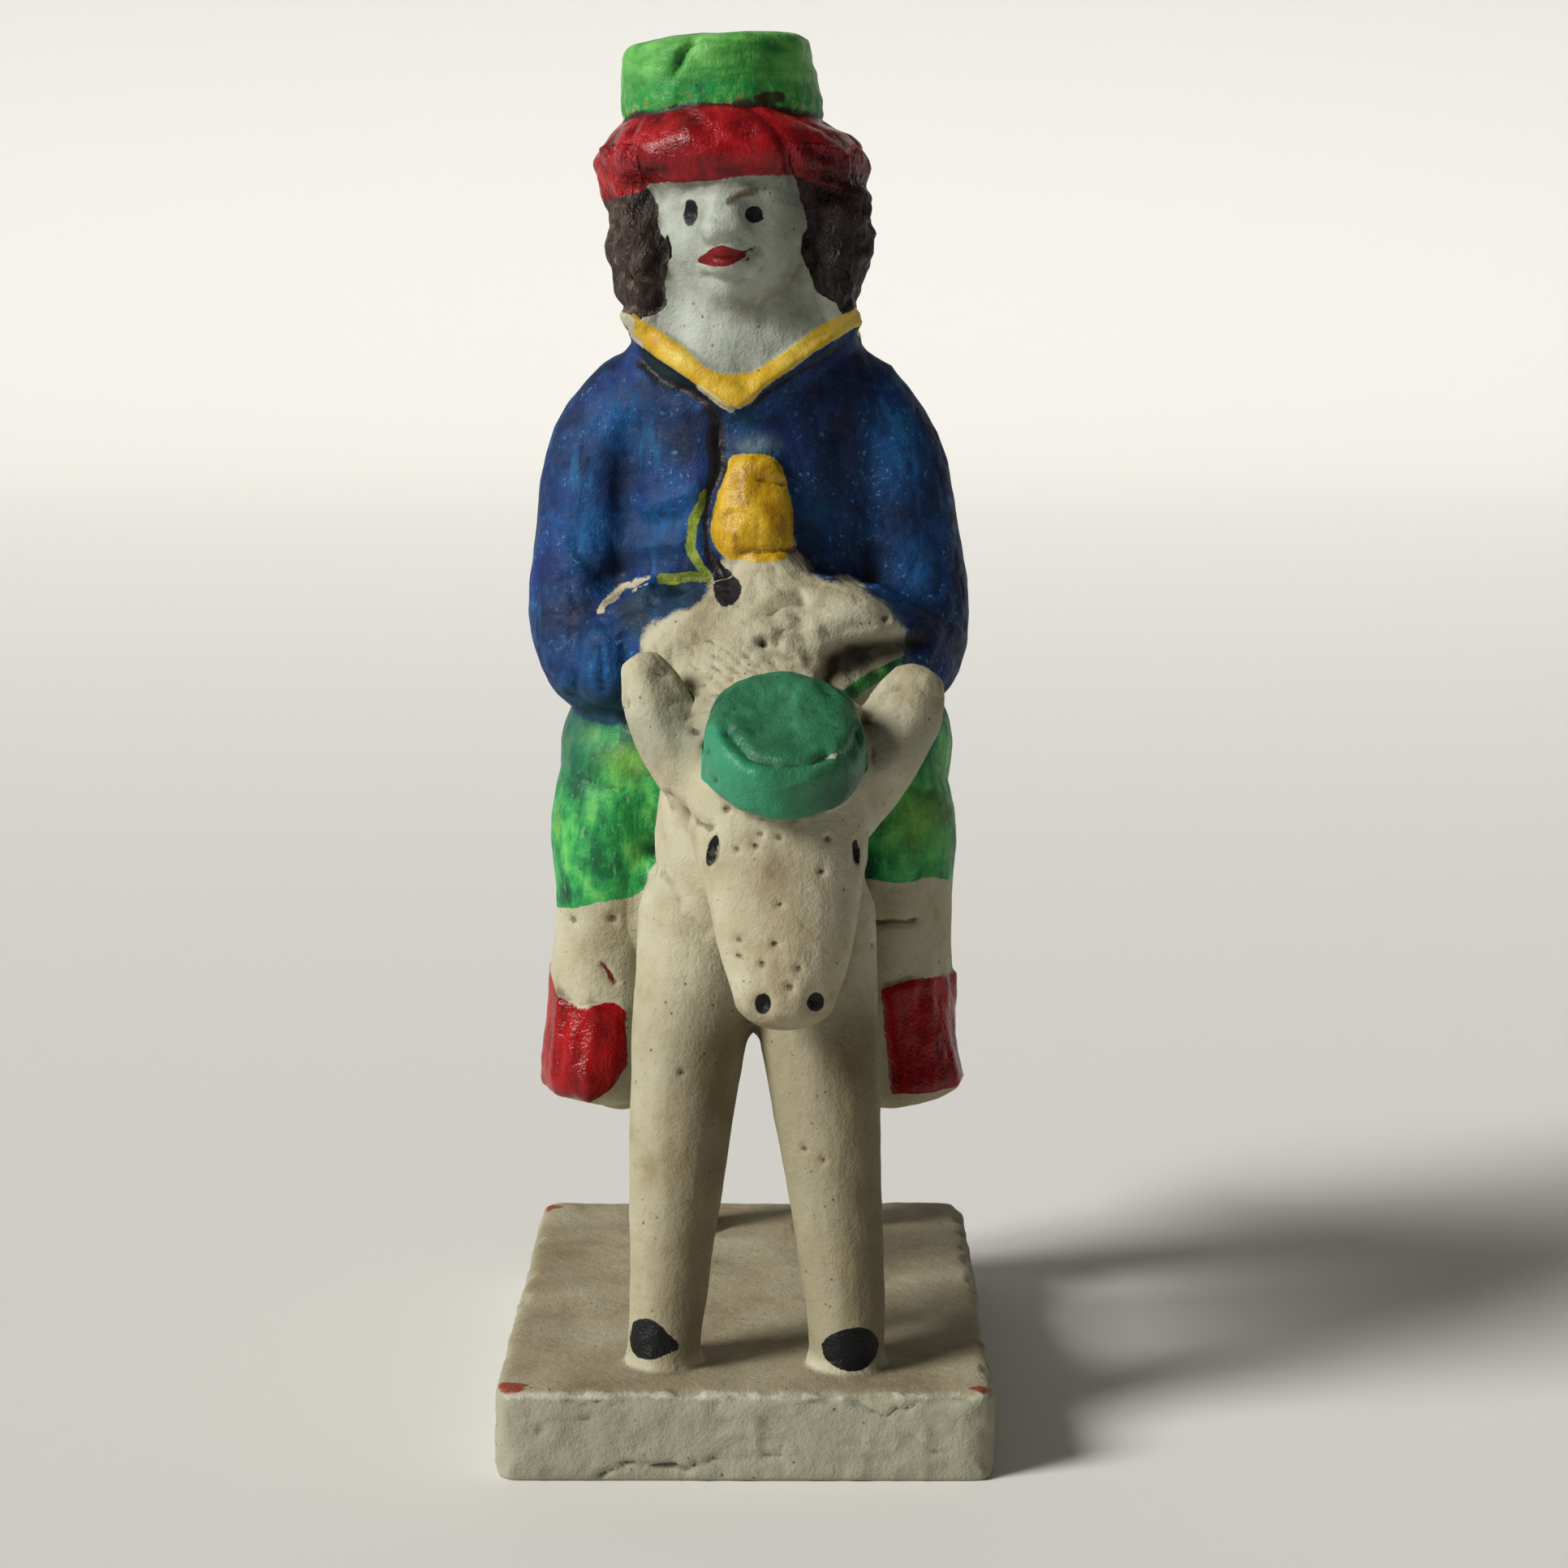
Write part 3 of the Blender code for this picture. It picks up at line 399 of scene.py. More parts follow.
    # The sleeves: the pocket beside the chest, pressed folds, and the cuffs' broken edge
    cloth = facing * smoothstep(79.0, 82.0, z) * smoothstep(128.0, 122.0, z)
    rise -= cloth * 0.8 * groove(wavy, [(-14.6, 116.0), (-15.1, 112.0), (-15.2, 108.0), (-14.4, 104.6)], 1.9)
    rise -= cloth * 0.7 * groove(wavy, [(12.0, 115.0), (12.2, 109.0), (11.2, 103.0)], 1.7)
    rise += cloth * 0.5 * groove(wavy, [(-13.2, 106.3), (-7.3, 108.0)], 1.0)
    rise -= cloth * 0.4 * groove(wavy, [(-13.0, 104.5), (-8.6, 104.8)], 0.9)
    rise += cloth * 0.45 * groove(wavy, [(-14.1, 101.4), (-8.5, 101.8)], 0.9)
    rise -= cloth * 0.55 * groove(wavy, [(-22.5, 101.5), (-19.3, 97.6)], 0.9)
    rise -= cloth * 0.9 * bump_at(front, (-17.3, 97.6), 1.8)
    rise += cloth * 0.8 * groove(wavy, CUFF_CHIP, 0.8)
    rise -= cloth * 0.7 * groove(wavy, [(-12.0, 95.0), (-15.6, 93.8), (-18.4, 91.6)], 0.8)
    rise -= cloth * 0.5 * groove(wavy, CUFF_EDGE, 0.5)
    rise += cloth * 0.8 * groove(wavy, [(-19.4, 89.0), (-18.6, 82.5)], 2.3)
    rise -= cloth * 0.9 * groove(wavy, [(-22.3, 90.4), (-22.6, 86.7), (-22.4, 82.8)], 1.0)
    rise -= cloth * 0.7 * groove(wavy, [(-15.6, 90.0), (-15.2, 85.4), (-15.6, 82.2)], 0.9)
    rise -= cloth * 0.5 * groove(wavy, [(-18.6, 88.4), (-18.2, 83.6)], 0.5)
    rise -= cloth * 0.35 * np.maximum(0.0, ridged(points, 2.6, 25) - 0.45)
    folds = facing * smoothstep(85.0, 83.0, z)
    rise -= folds * 0.8 * groove(wavy, [(-23.0, 81.4), (-20.9, 80.6), (-18.3, 79.7), (-15.2, 78.9)], 0.9)
    rise -= folds * 0.5 * groove(wavy, [(-23.2, 71.4), (-19.6, 70.3), (-16.4, 70.0)], 0.9)
    rise += folds * 0.5 * groove(wavy, [(-22.4, 74.6), (-17.0, 74.0)], 1.8)
    rise -= folds * 0.4 * groove(wavy, [(18.6, 71.0), (23.5, 69.4)], 0.9)

    # The mane: clay torn and pricked with a tool
    mane = facing * smoothstep(-1.0, 1.0, inside(front, MANE))
    torn = mane * np.exp(-((x - 5.6) / 4.2) ** 2 - ((z - 91.4) / 5.8) ** 2)
    rise += torn * (0.5 * ridged(points * (1.0, 1.0, 0.7), 2.9, 17) + 0.75 * noise(points, 1.7, 18) - 0.3)
    hatch = mane * bump_at(front, (-2.4, 88.6), 4.2)
    rise += hatch * 0.16 * np.sin(2 * math.pi * (0.5 * x + 0.85 * z + 0.3 * noise(points, 2.0, 19)) / 1.15)
    rise -= mane * 1.6 * bump_at(front, (2.1, 90.4), 0.75)
    shaded = facing * smoothstep(-8.0, -11.0, y) * smoothstep(-1.6, 1.6, inside(wavy, UNDER_HAND))
    rise -= 1.1 * shaded
    rise += mane * 0.6 * groove(wavy, [(9.6, 93.0), (14.0, 94.0), (18.4, 92.4)], 2.0)
    rise -= mane * 0.9 * bump_at(front, (17.4, 93.0), 0.5)

    # The ears are folded, hollow towards the mane
    ear = facing * smoothstep(-22.0, -24.5, y)
    rise -= ear * 0.4 * groove(front, [(-4.6, 79.0), (-7.2, 83.0), (-10.0, 87.0)], 1.4)
    rise += ear * 0.5 * groove(front, [(-8.6, 76.0), (-11.0, 81.0), (-12.8, 86.6)], 1.6)
    rise -= ear * 0.8 * groove(front, [(13.0, 79.4), (15.6, 82.4), (18.4, 85.6)], 1.3)
    rise += ear * 0.5 * groove(front, [(17.0, 75.0), (19.6, 79.6), (21.6, 84.6)], 1.6)

    # The pompon: its front edge is dented in a crease
    disc = smoothstep(1.2, 0.3, np.abs(pompon_gap(points))) * smoothstep(-34.0, -36.0, y)
    rise -= disc * 1.0 * groove(wavy, POMPON_CREASE, 0.7)
    _, up, _ = pompon_place(points)
    rise += 1.2 * smoothstep(1.2, 0.3, np.abs(pompon_gap(points))) * smoothstep(2.0, 8.0, up)
    rise += disc * 0.25 * groove(wavy, [(-0.6, 78.0), (3.8, 76.2), (8.6, 76.8)], 1.0)
    rise += disc * 0.12 * noise(points, 2.2, 20)

    # The horse's head: eyes, nostrils, muzzle and the crease at the root of the left ear
    head = facing * smoothstep(-28.0, -30.0, y) * smoothstep(72.0, 70.0, z)
    for nostril in ((2.3, 48.5), (8.7, 48.6)):
        rise -= head * 1.5 * bump_at(front * (1.0, 0.8), (nostril[0], nostril[1] * 0.8), 1.15)
        rise += head * 0.35 * bump_at(front, nostril, 2.4)
    for eye in (horse_eye_left, horse_eye_right):
        rise -= 0.55 * smoothstep(1.9, 0.9, eye(points))
    rise -= 0.7 * facing * groove(wavy, [(-9.4, 71.4), (-7.2, 69.6), (-4.8, 68.9)], 0.8)
    rise -= 0.45 * facing * groove(wavy, [(-11.4, 66.4), (-10.6, 62.2), (-8.4, 58.2), (-5.4, 55.3)], 1.3)
    for pit, radius in PITS:
        rise -= facing * smoothstep(-20.0, -24.0, y) * 0.5 * bump_at(front, pit, max(0.5, radius))

    # Stockings and boots
    leg = facing * smoothstep(0.0, -4.0, y)
    rise -= leg * 0.8 * groove(wavy, [(16.3, 52.4), (17.0, 52.0), (19.4, 52.4), (21.7, 52.7)], 0.45)
    rise -= leg * 0.5 * groove(wavy, [(-18.8, 46.5), (-17.6, 44.4)], 0.5)
    for pit in ((-22.9, 52.3), (-17.6, 52.9)):
        rise -= leg * 0.7 * bump_at(front, pit, 0.7)
    boots = smoothstep(-0.3, 0.5, boot_field(points))
    rise += boots * (0.35 + 0.55 * noise(points * (1.0, 1.0, 0.22), 1.9, 21) + 0.12 * noise(points, 1.5, 22))

    # The hooves stand on the slab with hardly any smear
    legs = group_gap(points, [FORELEG_LEFT, FORELEG_RIGHT, HINDLEG_LEFT, HINDLEG_RIGHT])
    smear = np.clip(np.minimum(legs, z), 0.0, 1.6) * smoothstep(4.5, 3.0, z) * smoothstep(4.0, 2.5, legs)
    rise -= 0.6 * smear
    rise -= 1.4 * smoothstep(20.0, 24.0, y) * smoothstep(30.0, 22.0, z) * smoothstep(0.0, 0.8, z)

    # The slab: chipped upper edges and cracks along its sides
    return calm * rise + slab_relief(points, normals)


def slab_relief(points, normals):
    """Chips along the slab's top edge and cracks in its sides."""
    x, y, z = points.T
    low = smoothstep(0.8, 0.0, z)
    side = smoothstep(0.5, 0.8, np.abs(normals[:, :2]).max(axis=1)) * low
    rounded = smoothstep(-SLAB_THICKNESS, -SLAB_THICKNESS + 0.6, z)
    on_front = side * (y < -SLAB_HALF_LENGTH + 4.0)
    front = wandering(points[:, [0, 2]], 1.8, 0.7, 41)
    rise = np.zeros(len(points))
    for line, depth in SLAB_CRACKS:
        gap, _ = from_line(front, line)
        above = front[:, 1] > curve(front[:, 0], line)
        patchy = 0.55 + 0.45 * noise(points, 2.6, 46)
        rise -= on_front * depth * patchy * np.exp(-(gap / 0.38) ** 2)
        rise += on_front * np.where(above, 0.3, -0.25) * depth * patchy * np.exp(-gap / 1.6)
    notch = smoothstep(-3.2, -0.4, z) * smoothstep(4.6, 2.2, np.abs(x - 16.4))
    rise -= 0.45 * on_front * notch * (0.7 + noise(points, 2.0, 47))
    scaly = ridged(points * (1.0, 1.0, 1.6), 3.4, 48)
    rise += on_front * 0.22 * (scaly - 0.5) * smoothstep(-0.1, 0.4, noise(points, 7.0, 49))
    rim = np.exp(-(z / 0.9) ** 2) * smoothstep(2.0, 0.6, slab_inset(points))
    rise -= rim * 0.55 * smoothstep(0.15, 0.6, noise(points, 3.4, 42))
    split = ridged(points * (0.4, 0.4, 2.2), 9.0, 43) * smoothstep(-0.1, 0.3, noise(points, 13.0, 50))
    rise -= side * 0.5 * smoothstep(0.86, 0.98, split) * (1.0 - on_front)
    rise += side * (0.16 * noise(points, 3.0, 44) + 0.10 * noise(points, 1.2, 45))
    return rounded * rise


def slab_inset(points):
    """How far a point is inside the slab's outline, seen from above."""
    return np.minimum(SLAB_HALF_WIDTH - np.abs(points[:, 0]), SLAB_HALF_LENGTH - np.abs(points[:, 1]))


def oval(points, middle, half_width, half_height, lean, deepest):
    """1 on an oval painted on the front, less inside it. Points behind deepest stay out."""
    x = points[:, 0] - middle[0]
    z = points[:, 2] - middle[1]
    across = x * math.cos(lean) - z * math.sin(lean)
    up = x * math.sin(lean) + z * math.cos(lean)
    ratio = np.hypot(across / half_width, up / half_height)
    return ratio + np.where(points[:, 1] > deepest, 99.0, 0.0)


def horse_eye_left(points):
    return oval(points, (-3.9, 66.2), 0.46, 1.40, math.radians(14), -28.0)


def horse_eye_right(points):
    return oval(points, (13.7, 66.0), 0.30, 1.10, math.radians(-6), -28.0)


def face_opening(points):
    """How far inside the painted face and neck a point is."""
    x, y, z = points.T
    gap = np.minimum(x - curve(z, FACE_LEFT, True), curve(z, FACE_RIGHT, True) - x)
    return np.minimum(gap, -1.0 - y)


def collar_edges(points):
    """Heights of the collar's foot and top: a V in front, level behind."""
    x, y, _ = points.T
    behind = smoothstep(-3.0, 1.0, y)
    foot = (1.0 - behind) * curve(x, COLLAR_FOOT) + behind * 127.4
    top = (1.0 - behind) * curve(x, COLLAR_TOP) + behind * 130.2
    return foot, top


def collar_field(points):
    foot, top = collar_edges(points)
    return np.minimum(points[:, 2] - foot, top - points[:, 2])


def hair_field(points):
    z = points[:, 2]
    _, top = collar_edges(points)
    return np.min([-face_opening(points), z - top + 0.4, 152.0 - z], axis=0)


def boot_field(points):
    x, _, z = points.T
    outer = np.maximum(-15.7 - x, x - 17.3 - 0.11 * (43.0 - z))
    height = np.minimum(curve(x, BOOT_TOP) - z, z - curve(x, BOOT_FOOT))
    return np.minimum(outer, height)


def slab_stroke(points, outline):
    """A brush mark on the slab's top, seen from above."""
    return np.minimum(inside(points[:, :2], outline), points[:, 2] + 0.35)


PITS = [((-2.3, 71.4), 0.5), ((1.9, 68.8), 0.4), ((4.2, 68.4), 0.35), ((1.3, 67.3), 0.4), ((-1.1, 66.8), 0.35),
        ((4.3, 60.5), 0.45), ((3.7, 55.8), 0.6), ((5.6, 50.7), 0.4), ((-0.8, 56.0), 0.35), ((-0.8, 54.0), 0.35),
        ((2.1, 53.4), 0.35), ((6.6, 52.9), 0.4), ((10.2, 68.0), 0.35), ((9.4, 64.2), 0.3), ((-7.9, 37.6), 0.4),
        ((7.2, 27.9), 0.5), ((9.7, 26.7), 0.35), ((-6.4, 80.2), 0.3), ((-5.0, 78.6), 0.3), ((-3.6, 75.4), 0.3)]

# Cracks in the slab's front, and how deep they are
SLAB_CRACKS = [
    ([(-21.7, -1.1), (-18.2, -1.3), (-12.7, -1.0), (-8.9, -1.6), (-7.9, -2.3), (-6.7, -1.1), (-1.2, -0.8)], 0.45),
    ([(-25.2, -4.6), (-21.7, -3.5), (-18.7, -3.3)], 0.3),
    ([(-17.5, -10.7), (-15.2, -9.6), (-12.5, -9.1), (-6.8, -9.1), (-6.1, -8.4), (-3.7, -8.7), (0.3, -8.1),
      (4.3, -7.7)], 0.95),
    ([(8.3, -1.2), (14.2, -1.7), (17.2, -3.3), (18.2, -1.9), (23.2, -1.4), (27.2, -0.8)], 0.65),
    ([(20.2, -5.6), (22.4, -6.8), (24.3, -7.6)], 0.3),
]

# Where the jacket's blue is lighter or deeper, and how far: partly uneven brushing, partly painted light on lit places
# and painted shade on the shaded lower right
BRIGHT_BLUE = [((-10.4, 105.0), 4.2), ((-20.5, 103.0), 4.0), ((20.0, 113.0), 4.4), ((-18.6, 86.0), 3.6),
               ((-17.0, 117.5), 4.4), ((21.5, 98.0), 4.0), ((9.0, 106.0), 3.0)]
DEEP_BLUE = [((11.0, 111.0), 5.0), ((6.0, 104.0), 3.0), ((-14.8, 110.0), 2.8), ((14.0, 99.0), 3.6), ((-8.0, 114.0), 3.0),
             ((24.0, 90.0), 6.0), ((-22.5, 93.0), 4.0), ((-9.0, 119.0), 2.6)]

# Half the width of the lapel's dark line, at places along it
LAPEL_WIDTHS = [(0.0, 0.5), (13.3, 0.6), (16.1, 0.75), (18.5, 1.35), (21.9, 1.1), (25.7, 0.42), (32.8, 0.45),
                (35.4, 0.75), (38.1, 1.8)]


def paint_fields(points, normals):
    """How far inside each coat of paint a point is, in millimetres."""
    x, y, z = points.T
    front = points[:, [0, 2]]
    drawn = wandering(front, 2.4, 0.16, 51)
    brushed = points + 0.35 * np.column_stack([noise(points, 3.2, seed) for seed in (52, 53, 54)])
    on_chest = -5.0 - y
    seen_in_front = 4.0 * (-0.2 - normals[:, 1])

    seam = (group_gap(points, HORSE) - group_gap(points, RIDER)) / 2
    mane = np.minimum(inside(wandering(front, 2.6, 0.4, 55), MANE), -6.0 - y)
    rider = np.minimum(seam, -mane)
    _, _, brim_gap = brim_place(points)
    _, pompon_up, _ = pompon_place(points)
    base = crown_base(points)
    foot, _ = collar_edges(points)
    lapel_gap, lapel_along = from_line(drawn, LAPEL)
    lapel = np.interp(lapel_along, *zip(*LAPEL_WIDTHS)) - lapel_gap
    hooves = np.maximum(inside(drawn, HOOF_LEFT), inside(drawn, HOOF_RIGHT))
    hind_hooves = 2.9 - np.minimum(np.hypot(x + 9.0, z - 3.6), np.hypot(x - 11.6, z - 3.4))
    pits = np.max([np.minimum(0.62 * radius - np.hypot(x - px, z - pz), -18.0 - y)
                   for (px, pz), radius in PITS], axis=0)
    on_face = np.minimum(-5.0 - y, 150.0 - z)
    eyes = np.max([
        (1.0 - oval(points, (-6.95, 143.5), 0.95, 1.60, 0.1, -4.0)) * 0.7,
        (1.0 - oval(points, (1.0, 143.3), 1.10, 1.10, 0.0, -4.0)) * 1.1,
        (1.0 - oval(points, (1.9, 142.6), 0.50, 0.30, -0.5, -4.0)) * 0.4,
    ], axis=0) + 0.10 * noise(points, 0.9, 64)
    horse_eyes = np.minimum(horse_eye_left(points), horse_eye_right(points))
    nostrils = 1.0 - np.minimum(oval(points, (2.3, 48.5), 1.0, 1.35, 0.15, -34.0),
                                oval(points, (8.7, 48.6), 1.05, 1.25, -0.15, -34.0))
    return {
        "slab": 0.25 - z,
        "arris": 0.3 + 0.55 * (y < 1.5 - SLAB_HALF_LENGTH) - np.hypot(z, np.minimum(slab_inset(points), 2.0)),
        "hair": hair_field(brushed),
        "face": np.minimum(face_opening(brushed), z - foot),
        "jacket": np.min([rider, foot + 0.7 - z, z - 78.6 + 0.8 * noise(points, 6.0, 56)], axis=0),
        "trousers": np.maximum(
            np.min([rider, 84.0 - z, z - curve(x, TROUSER_FOOT) + 0.3 * noise(points, 4.0, 57)], axis=0),
            np.min([inside(drawn, GREEN_GAP), -8.0 - y, y + 25.0, seen_in_front], axis=0),
        ),
        "boots": np.minimum(boot_field(brushed), (group_gap(points, HORSE) - 0.4)),
        "collar": np.minimum(collar_field(wandering_points(points)), x + 14.6 + 99.0 * (y > -1.0)),
        "lapel": np.min([lapel, on_chest, seen_in_front], axis=0),
        "lapel_right": np.minimum(0.33 - from_line(drawn, LAPEL_RIGHT)[0], on_chest),
        "lime": np.minimum(0.62 - np.minimum(from_line(drawn, JACKET_EDGE)[0], from_line(drawn, CUFF_EDGE)[0]),
                           on_chest),
        "tie": np.minimum(inside(drawn, TIE), on_chest),
        "chips": np.maximum(
            np.min([0.5 - from_line(wandering(front, 1.2, 0.5, 58), CUFF_CHIP)[0], on_chest, seen_in_front], axis=0),
            np.minimum(0.1 - from_line(drawn, [(8.6, 78.1), (12.0, 79.4)])[0], -34.0 - y),
        ),
        "brim": np.min([np.where(z > 152.0, 5.0, 0.9) - brim_gap, base - z, z - np.where(y < 0.0, curve(x, BRIM_FOOT), 145.4)], axis=0),
        "crown": np.minimum(z - base, 4.0 - lump_gap(points, HAT_CROWN)),
        "pompon": np.minimum(0.55 + 1.2 * smoothstep(1.0, 7.0, pompon_up) - pompon_gap(points), -27.0 - y),
        "lips": np.minimum(inside(drawn, LIPS), on_face),
        "ink": np.max([
            np.minimum(eyes, on_face),
            np.minimum(0.12 - from_line(drawn, CHEEK_LINE)[0], on_face),
            np.minimum(0.08 - from_line(drawn, SMILE)[0], on_face),
            np.minimum(0.22 - from_line(drawn, HAIR_GAP)[0], on_face),
            0.32 - np.abs(horse_eyes - 1.0) * 0.7,
            nostrils,
            np.minimum(hooves, -29.0 - y),
            np.minimum(hind_hooves, y - 31.5),
        ], axis=0),
        "umber": np.max([
            1.0 - oval(points, (2.6, 157.9), 2.5, 0.75, 0.0, -4.0) + 0.5 * noise(points, 1.6, 59),
            np.minimum(0.30 - np.abs(z - base), -2.0 - y) + 0.35 * noise(points, 2.8, 60),
        ], axis=0),
        "collar_shade": np.minimum(inside(drawn, COLLAR_SHADE), on_chest),
        "collar_tip": np.minimum(0.42 - from_line(drawn, [(-6.0, 121.7), (-1.9, 118.8)])[0], on_chest),
        "brow": np.minimum(0.45 - from_line(drawn, BROW)[0], on_face),
        "eyelid": 0.9 - horse_eyes,
        "glint": 0.30 - np.hypot(x + 6.6, z - 143.2) + np.where(y > -4.0, -99.0, 0.0),
        "pits": pits,
        "strokes": np.max([
            slab_stroke(points, [(-31.0, -43.9), (-31.2, -39.6), (-28.6, -40.2), (-26.0, -41.8), (-28.4, -43.6)]),
            slab_stroke(points, [(27.0, -42.4), (29.0, -41.6), (31.2, -41.8), (31.2, -43.4), (29.0, -43.0)]),
            slab_stroke(points, [(-31.2, 37.6), (-31.2, 42.4), (-29.6, 41.4), (-27.0, 39.6), (-29.4, 38.2)]),
        ], axis=0),
        "scratch": np.minimum(0.22 - from_line(drawn, [(-19.0, 46.8), (-18.1, 45.6), (-17.5, 44.0)])[0], -4.0 - y),
        "collar_end": np.minimum(0.3 - from_line(drawn, [(-14.6, 130.2), (-15.0, 128.2), (-13.2, 126.8)])[0], on_chest + 1.0),
    }


def wandering_points(points):
    """Points shifted a little, so that edges in depth waver like a hand's."""
    return points + 0.22 * np.column_stack([noise(points, 2.6, seed) for seed in (61, 62, 63)])


def soft_marks(points, normals):
    """Stains, painted shade and painted highlights with no edge, from 0 to 1."""
    x, y, z = points.T
    front = points[:, [0, 2]]
    on_slab = smoothstep(0.8, 0.0, np.abs(z))
    facing_front = smoothstep(-2.0, -6.0, y)
    muzzle = smoothstep(-28.0, -32.0, y) * bump_at(front * (1.0, 0.8), (3.4, 64.4 * 0.8), 2.4)
    feet = [(-10.4, -32.4), (12.9, -33.0), (-9.0, 30.0), (11.6, 30.0)]
    rings = np.max([bump_at(points[:, :2], foot, 8.0) for foot in feet], axis=0)
    return {
        "stain": np.clip(muzzle + on_slab * 0.9 * rings + 0.5 * on_slab * smoothstep(0.0, 0.6, noise(points, 14.0, 71)),
                         0.0, 1.0),
        "brim_side_shade": smoothstep(2.0, 12.0, x) * smoothstep(154.0, 149.0, z + 0.12 * x) * smoothstep(140.0, 143.0, z),
        "knot": smoothstep(-5.0, -8.0, y) * bump_at(front * (1.0, 1.6), (-0.6, 117.6 * 1.6), 1.8),
        "shirt": smoothstep(-5.0, -8.0, y) * bump_at(front * (1.0, 2.0), (1.0, 114.4 * 2.0), 2.4),
        "pompon_lip_highlight": smoothstep(0.5, -0.3, z - curve(x, POMPON_CREASE)) * smoothstep(6.0, 1.0, x + 0.6 * (z - 76.0)),
        "leg_soil_and_shade": leg_soil_and_shade(points),
        "bright_blue": smoothstep(-2.0, -6.0, y) * np.max([
            bump_at(front, middle, radius) for middle, radius in BRIGHT_BLUE], axis=0),
        "deep_blue": smoothstep(-2.0, -6.0, y) * np.max([
            bump_at(front, middle, radius) for middle, radius in DEEP_BLUE], axis=0),
        "boss": smoothstep(-28.0, -32.0, y) * bump_at(front * (1.0, 0.5), (4.6, 28.0), 5.0),
        "yellowed": smoothstep(-2.0, -6.0, y) * np.maximum(bump_at(front * (1.0, 1.5), (-15.2, 73.6 * 1.5), 3.2),
                                                          0.8 * bump_at(front, (22.4, 66.0), 4.0)),
        "jaw_shade": facing_front * np.maximum(
            groove(front, [(-3.6, 131.8), (0.8, 131.6), (4.6, 133.6), (6.4, 136.6)], 1.5),
            0.55 * smoothstep(2.6, 6.6, x) * smoothstep(128.0, 132.0, z) * smoothstep(149.0, 146.0, z)),
        "brim_shade": facing_front * smoothstep(-2.4, -0.2, z - curve(x, BRIM_FOOT)),
        "pompon_shade": smoothstep(-28.0, -32.0, y) * bump_at(front, (12.6, 73.6), 3.6),
        "hair_shade": smoothstep(4.0, 9.0, x) * smoothstep(1.0, -3.0, y),
        "teal": smoothstep(86.0, 80.0, z) * smoothstep(66.0, 74.0, z) * smoothstep(-17.0, -24.0, x),
        "hand_shade": smoothstep(-6.0, -9.0, y) * smoothstep(-0.8, 0.8, inside(front, HAND_SHADE)),
        "under_hand_shadow": smoothstep(-8.0, -11.0, y) * smoothstep(-0.6, 1.0, inside(front, UNDER_HAND)),
        "hem_shade": smoothstep(86.0, 79.5, z) * smoothstep(74.0, 78.0, z),
    }


def leg_soil_and_shade(points):
    """Brown dirt on the forelegs, with painted shade darkening their right sides."""
    x, y, z = points.T
    on_legs = smoothstep(0.5, 3.0, z) * smoothstep(52.0, 40.0, z) * smoothstep(-12.0, -16.0, y)
    share = np.zeros(len(points))
    for leg, least in ((FORELEG_LEFT, 0.25), (FORELEG_RIGHT, 0.6)):
        middles, _, heights, halves, _ = zip(*sorted(leg, key=lambda station: station[2]))
        across = (x - np.interp(z, heights, middles)) / np.interp(z, heights, halves)
        share = np.maximum(share, smoothstep(1.6, 1.2, np.abs(across)) * np.maximum(least, smoothstep(-1.1, 0.5, across)))
    return on_legs * share


def smoothed(points, edges, passes, shrink=False):
    """Relaxes the points towards their neighbours, by turns in and out unless shrink."""
    count = len(points)
    first, second = edges.T
    links = np.bincount(first, minlength=count) + np.bincount(second, minlength=count)
    made = points.copy()
    for turn in range(passes):
        total = np.column_stack([
            np.bincount(first, made[second, axis], count) + np.bincount(second, made[first, axis], count)
            for axis in range(3)
        ])
        amount = 0.55 if shrink or turn % 2 == 0 else -0.57
        made += amount * (total / np.maximum(links, 1)[:, None] - made)
    return made


def reshaped(points, normals, edges):
    """Sharpens the joints between lumps, and fills the deep hollows that the clay doesn't have."""
    x, y, z = points.T
    off_slab = smoothstep(1.0, 4.0, z)[:, None]
    points = points + SHARPEN * off_slab * (points - smoothed(points, edges, 14, shrink=True))
    under_brim = smoothstep(140.0, 143.5, z) * smoothstep(151.0, 148.0, z) * (0.45 + 0.55 * smoothstep(1.0, 7.0, x))
    beside_neck = smoothstep(125.0, 128.0, z) * smoothstep(143.0, 139.0, z) * smoothstep(4.0, 0.0, y)
    behind_ears = smoothstep(74.0, 78.0, z) * smoothstep(91.0, 87.0, z) * smoothstep(-12.0, -16.0, y)
    behind_ears *= smoothstep(9.0, 6.0, np.abs(x - 2.0) - 5.0)
    by_stocking = smoothstep(38.0, 44.0, z) * smoothstep(62.0, 58.0, z) * smoothstep(-2.0, -6.0, y) * smoothstep(-7.0, -10.0, x)
    behind_ears *= smoothstep(0.4, 1.6, pompon_gap(points))
    relaxed = smoothed(points, edges, 90, shrink=True)
    level = smoothed(relaxed, edges, 140, shrink=True)
    points = points + np.maximum(under_brim, hollow_of(points, normals, relaxed) * beside_neck)[:, None] * (relaxed - points)
    for _ in range(2):
        share = hollow_of(points, normals, level) * np.maximum(behind_ears, by_stocking)
        points = points + share[:, None] * (level - points)
        level = smoothed(points, edges, 120, shrink=True)
    return points


def hollow_of(points, normals, level):
    """1 where points lie under a smoother surface, 0 where they stand out of it."""
    return smoothstep(-0.1, 0.3, ((level - points) * normals).sum(axis=1))


def mesh_points(mesh):
    """Points in millimetres above the slab's top, their normals, and the edges."""
    points = np.empty(len(mesh.vertices) * 3)
    mesh.vertices.foreach_get("co", points)
    normals = np.empty(len(mesh.vertices) * 3)
    mesh.vertices.foreach_get("normal", normals)
    edges = np.empty(len(mesh.edges) * 2, np.int64)
    mesh.edges.foreach_get("vertices", edges)
    points = points.reshape(-1, 3) / MILLIMETRE - (0.0, 0.0, SLAB_THICKNESS)
    return points, normals.reshape(-1, 3), edges.reshape(-1, 2)


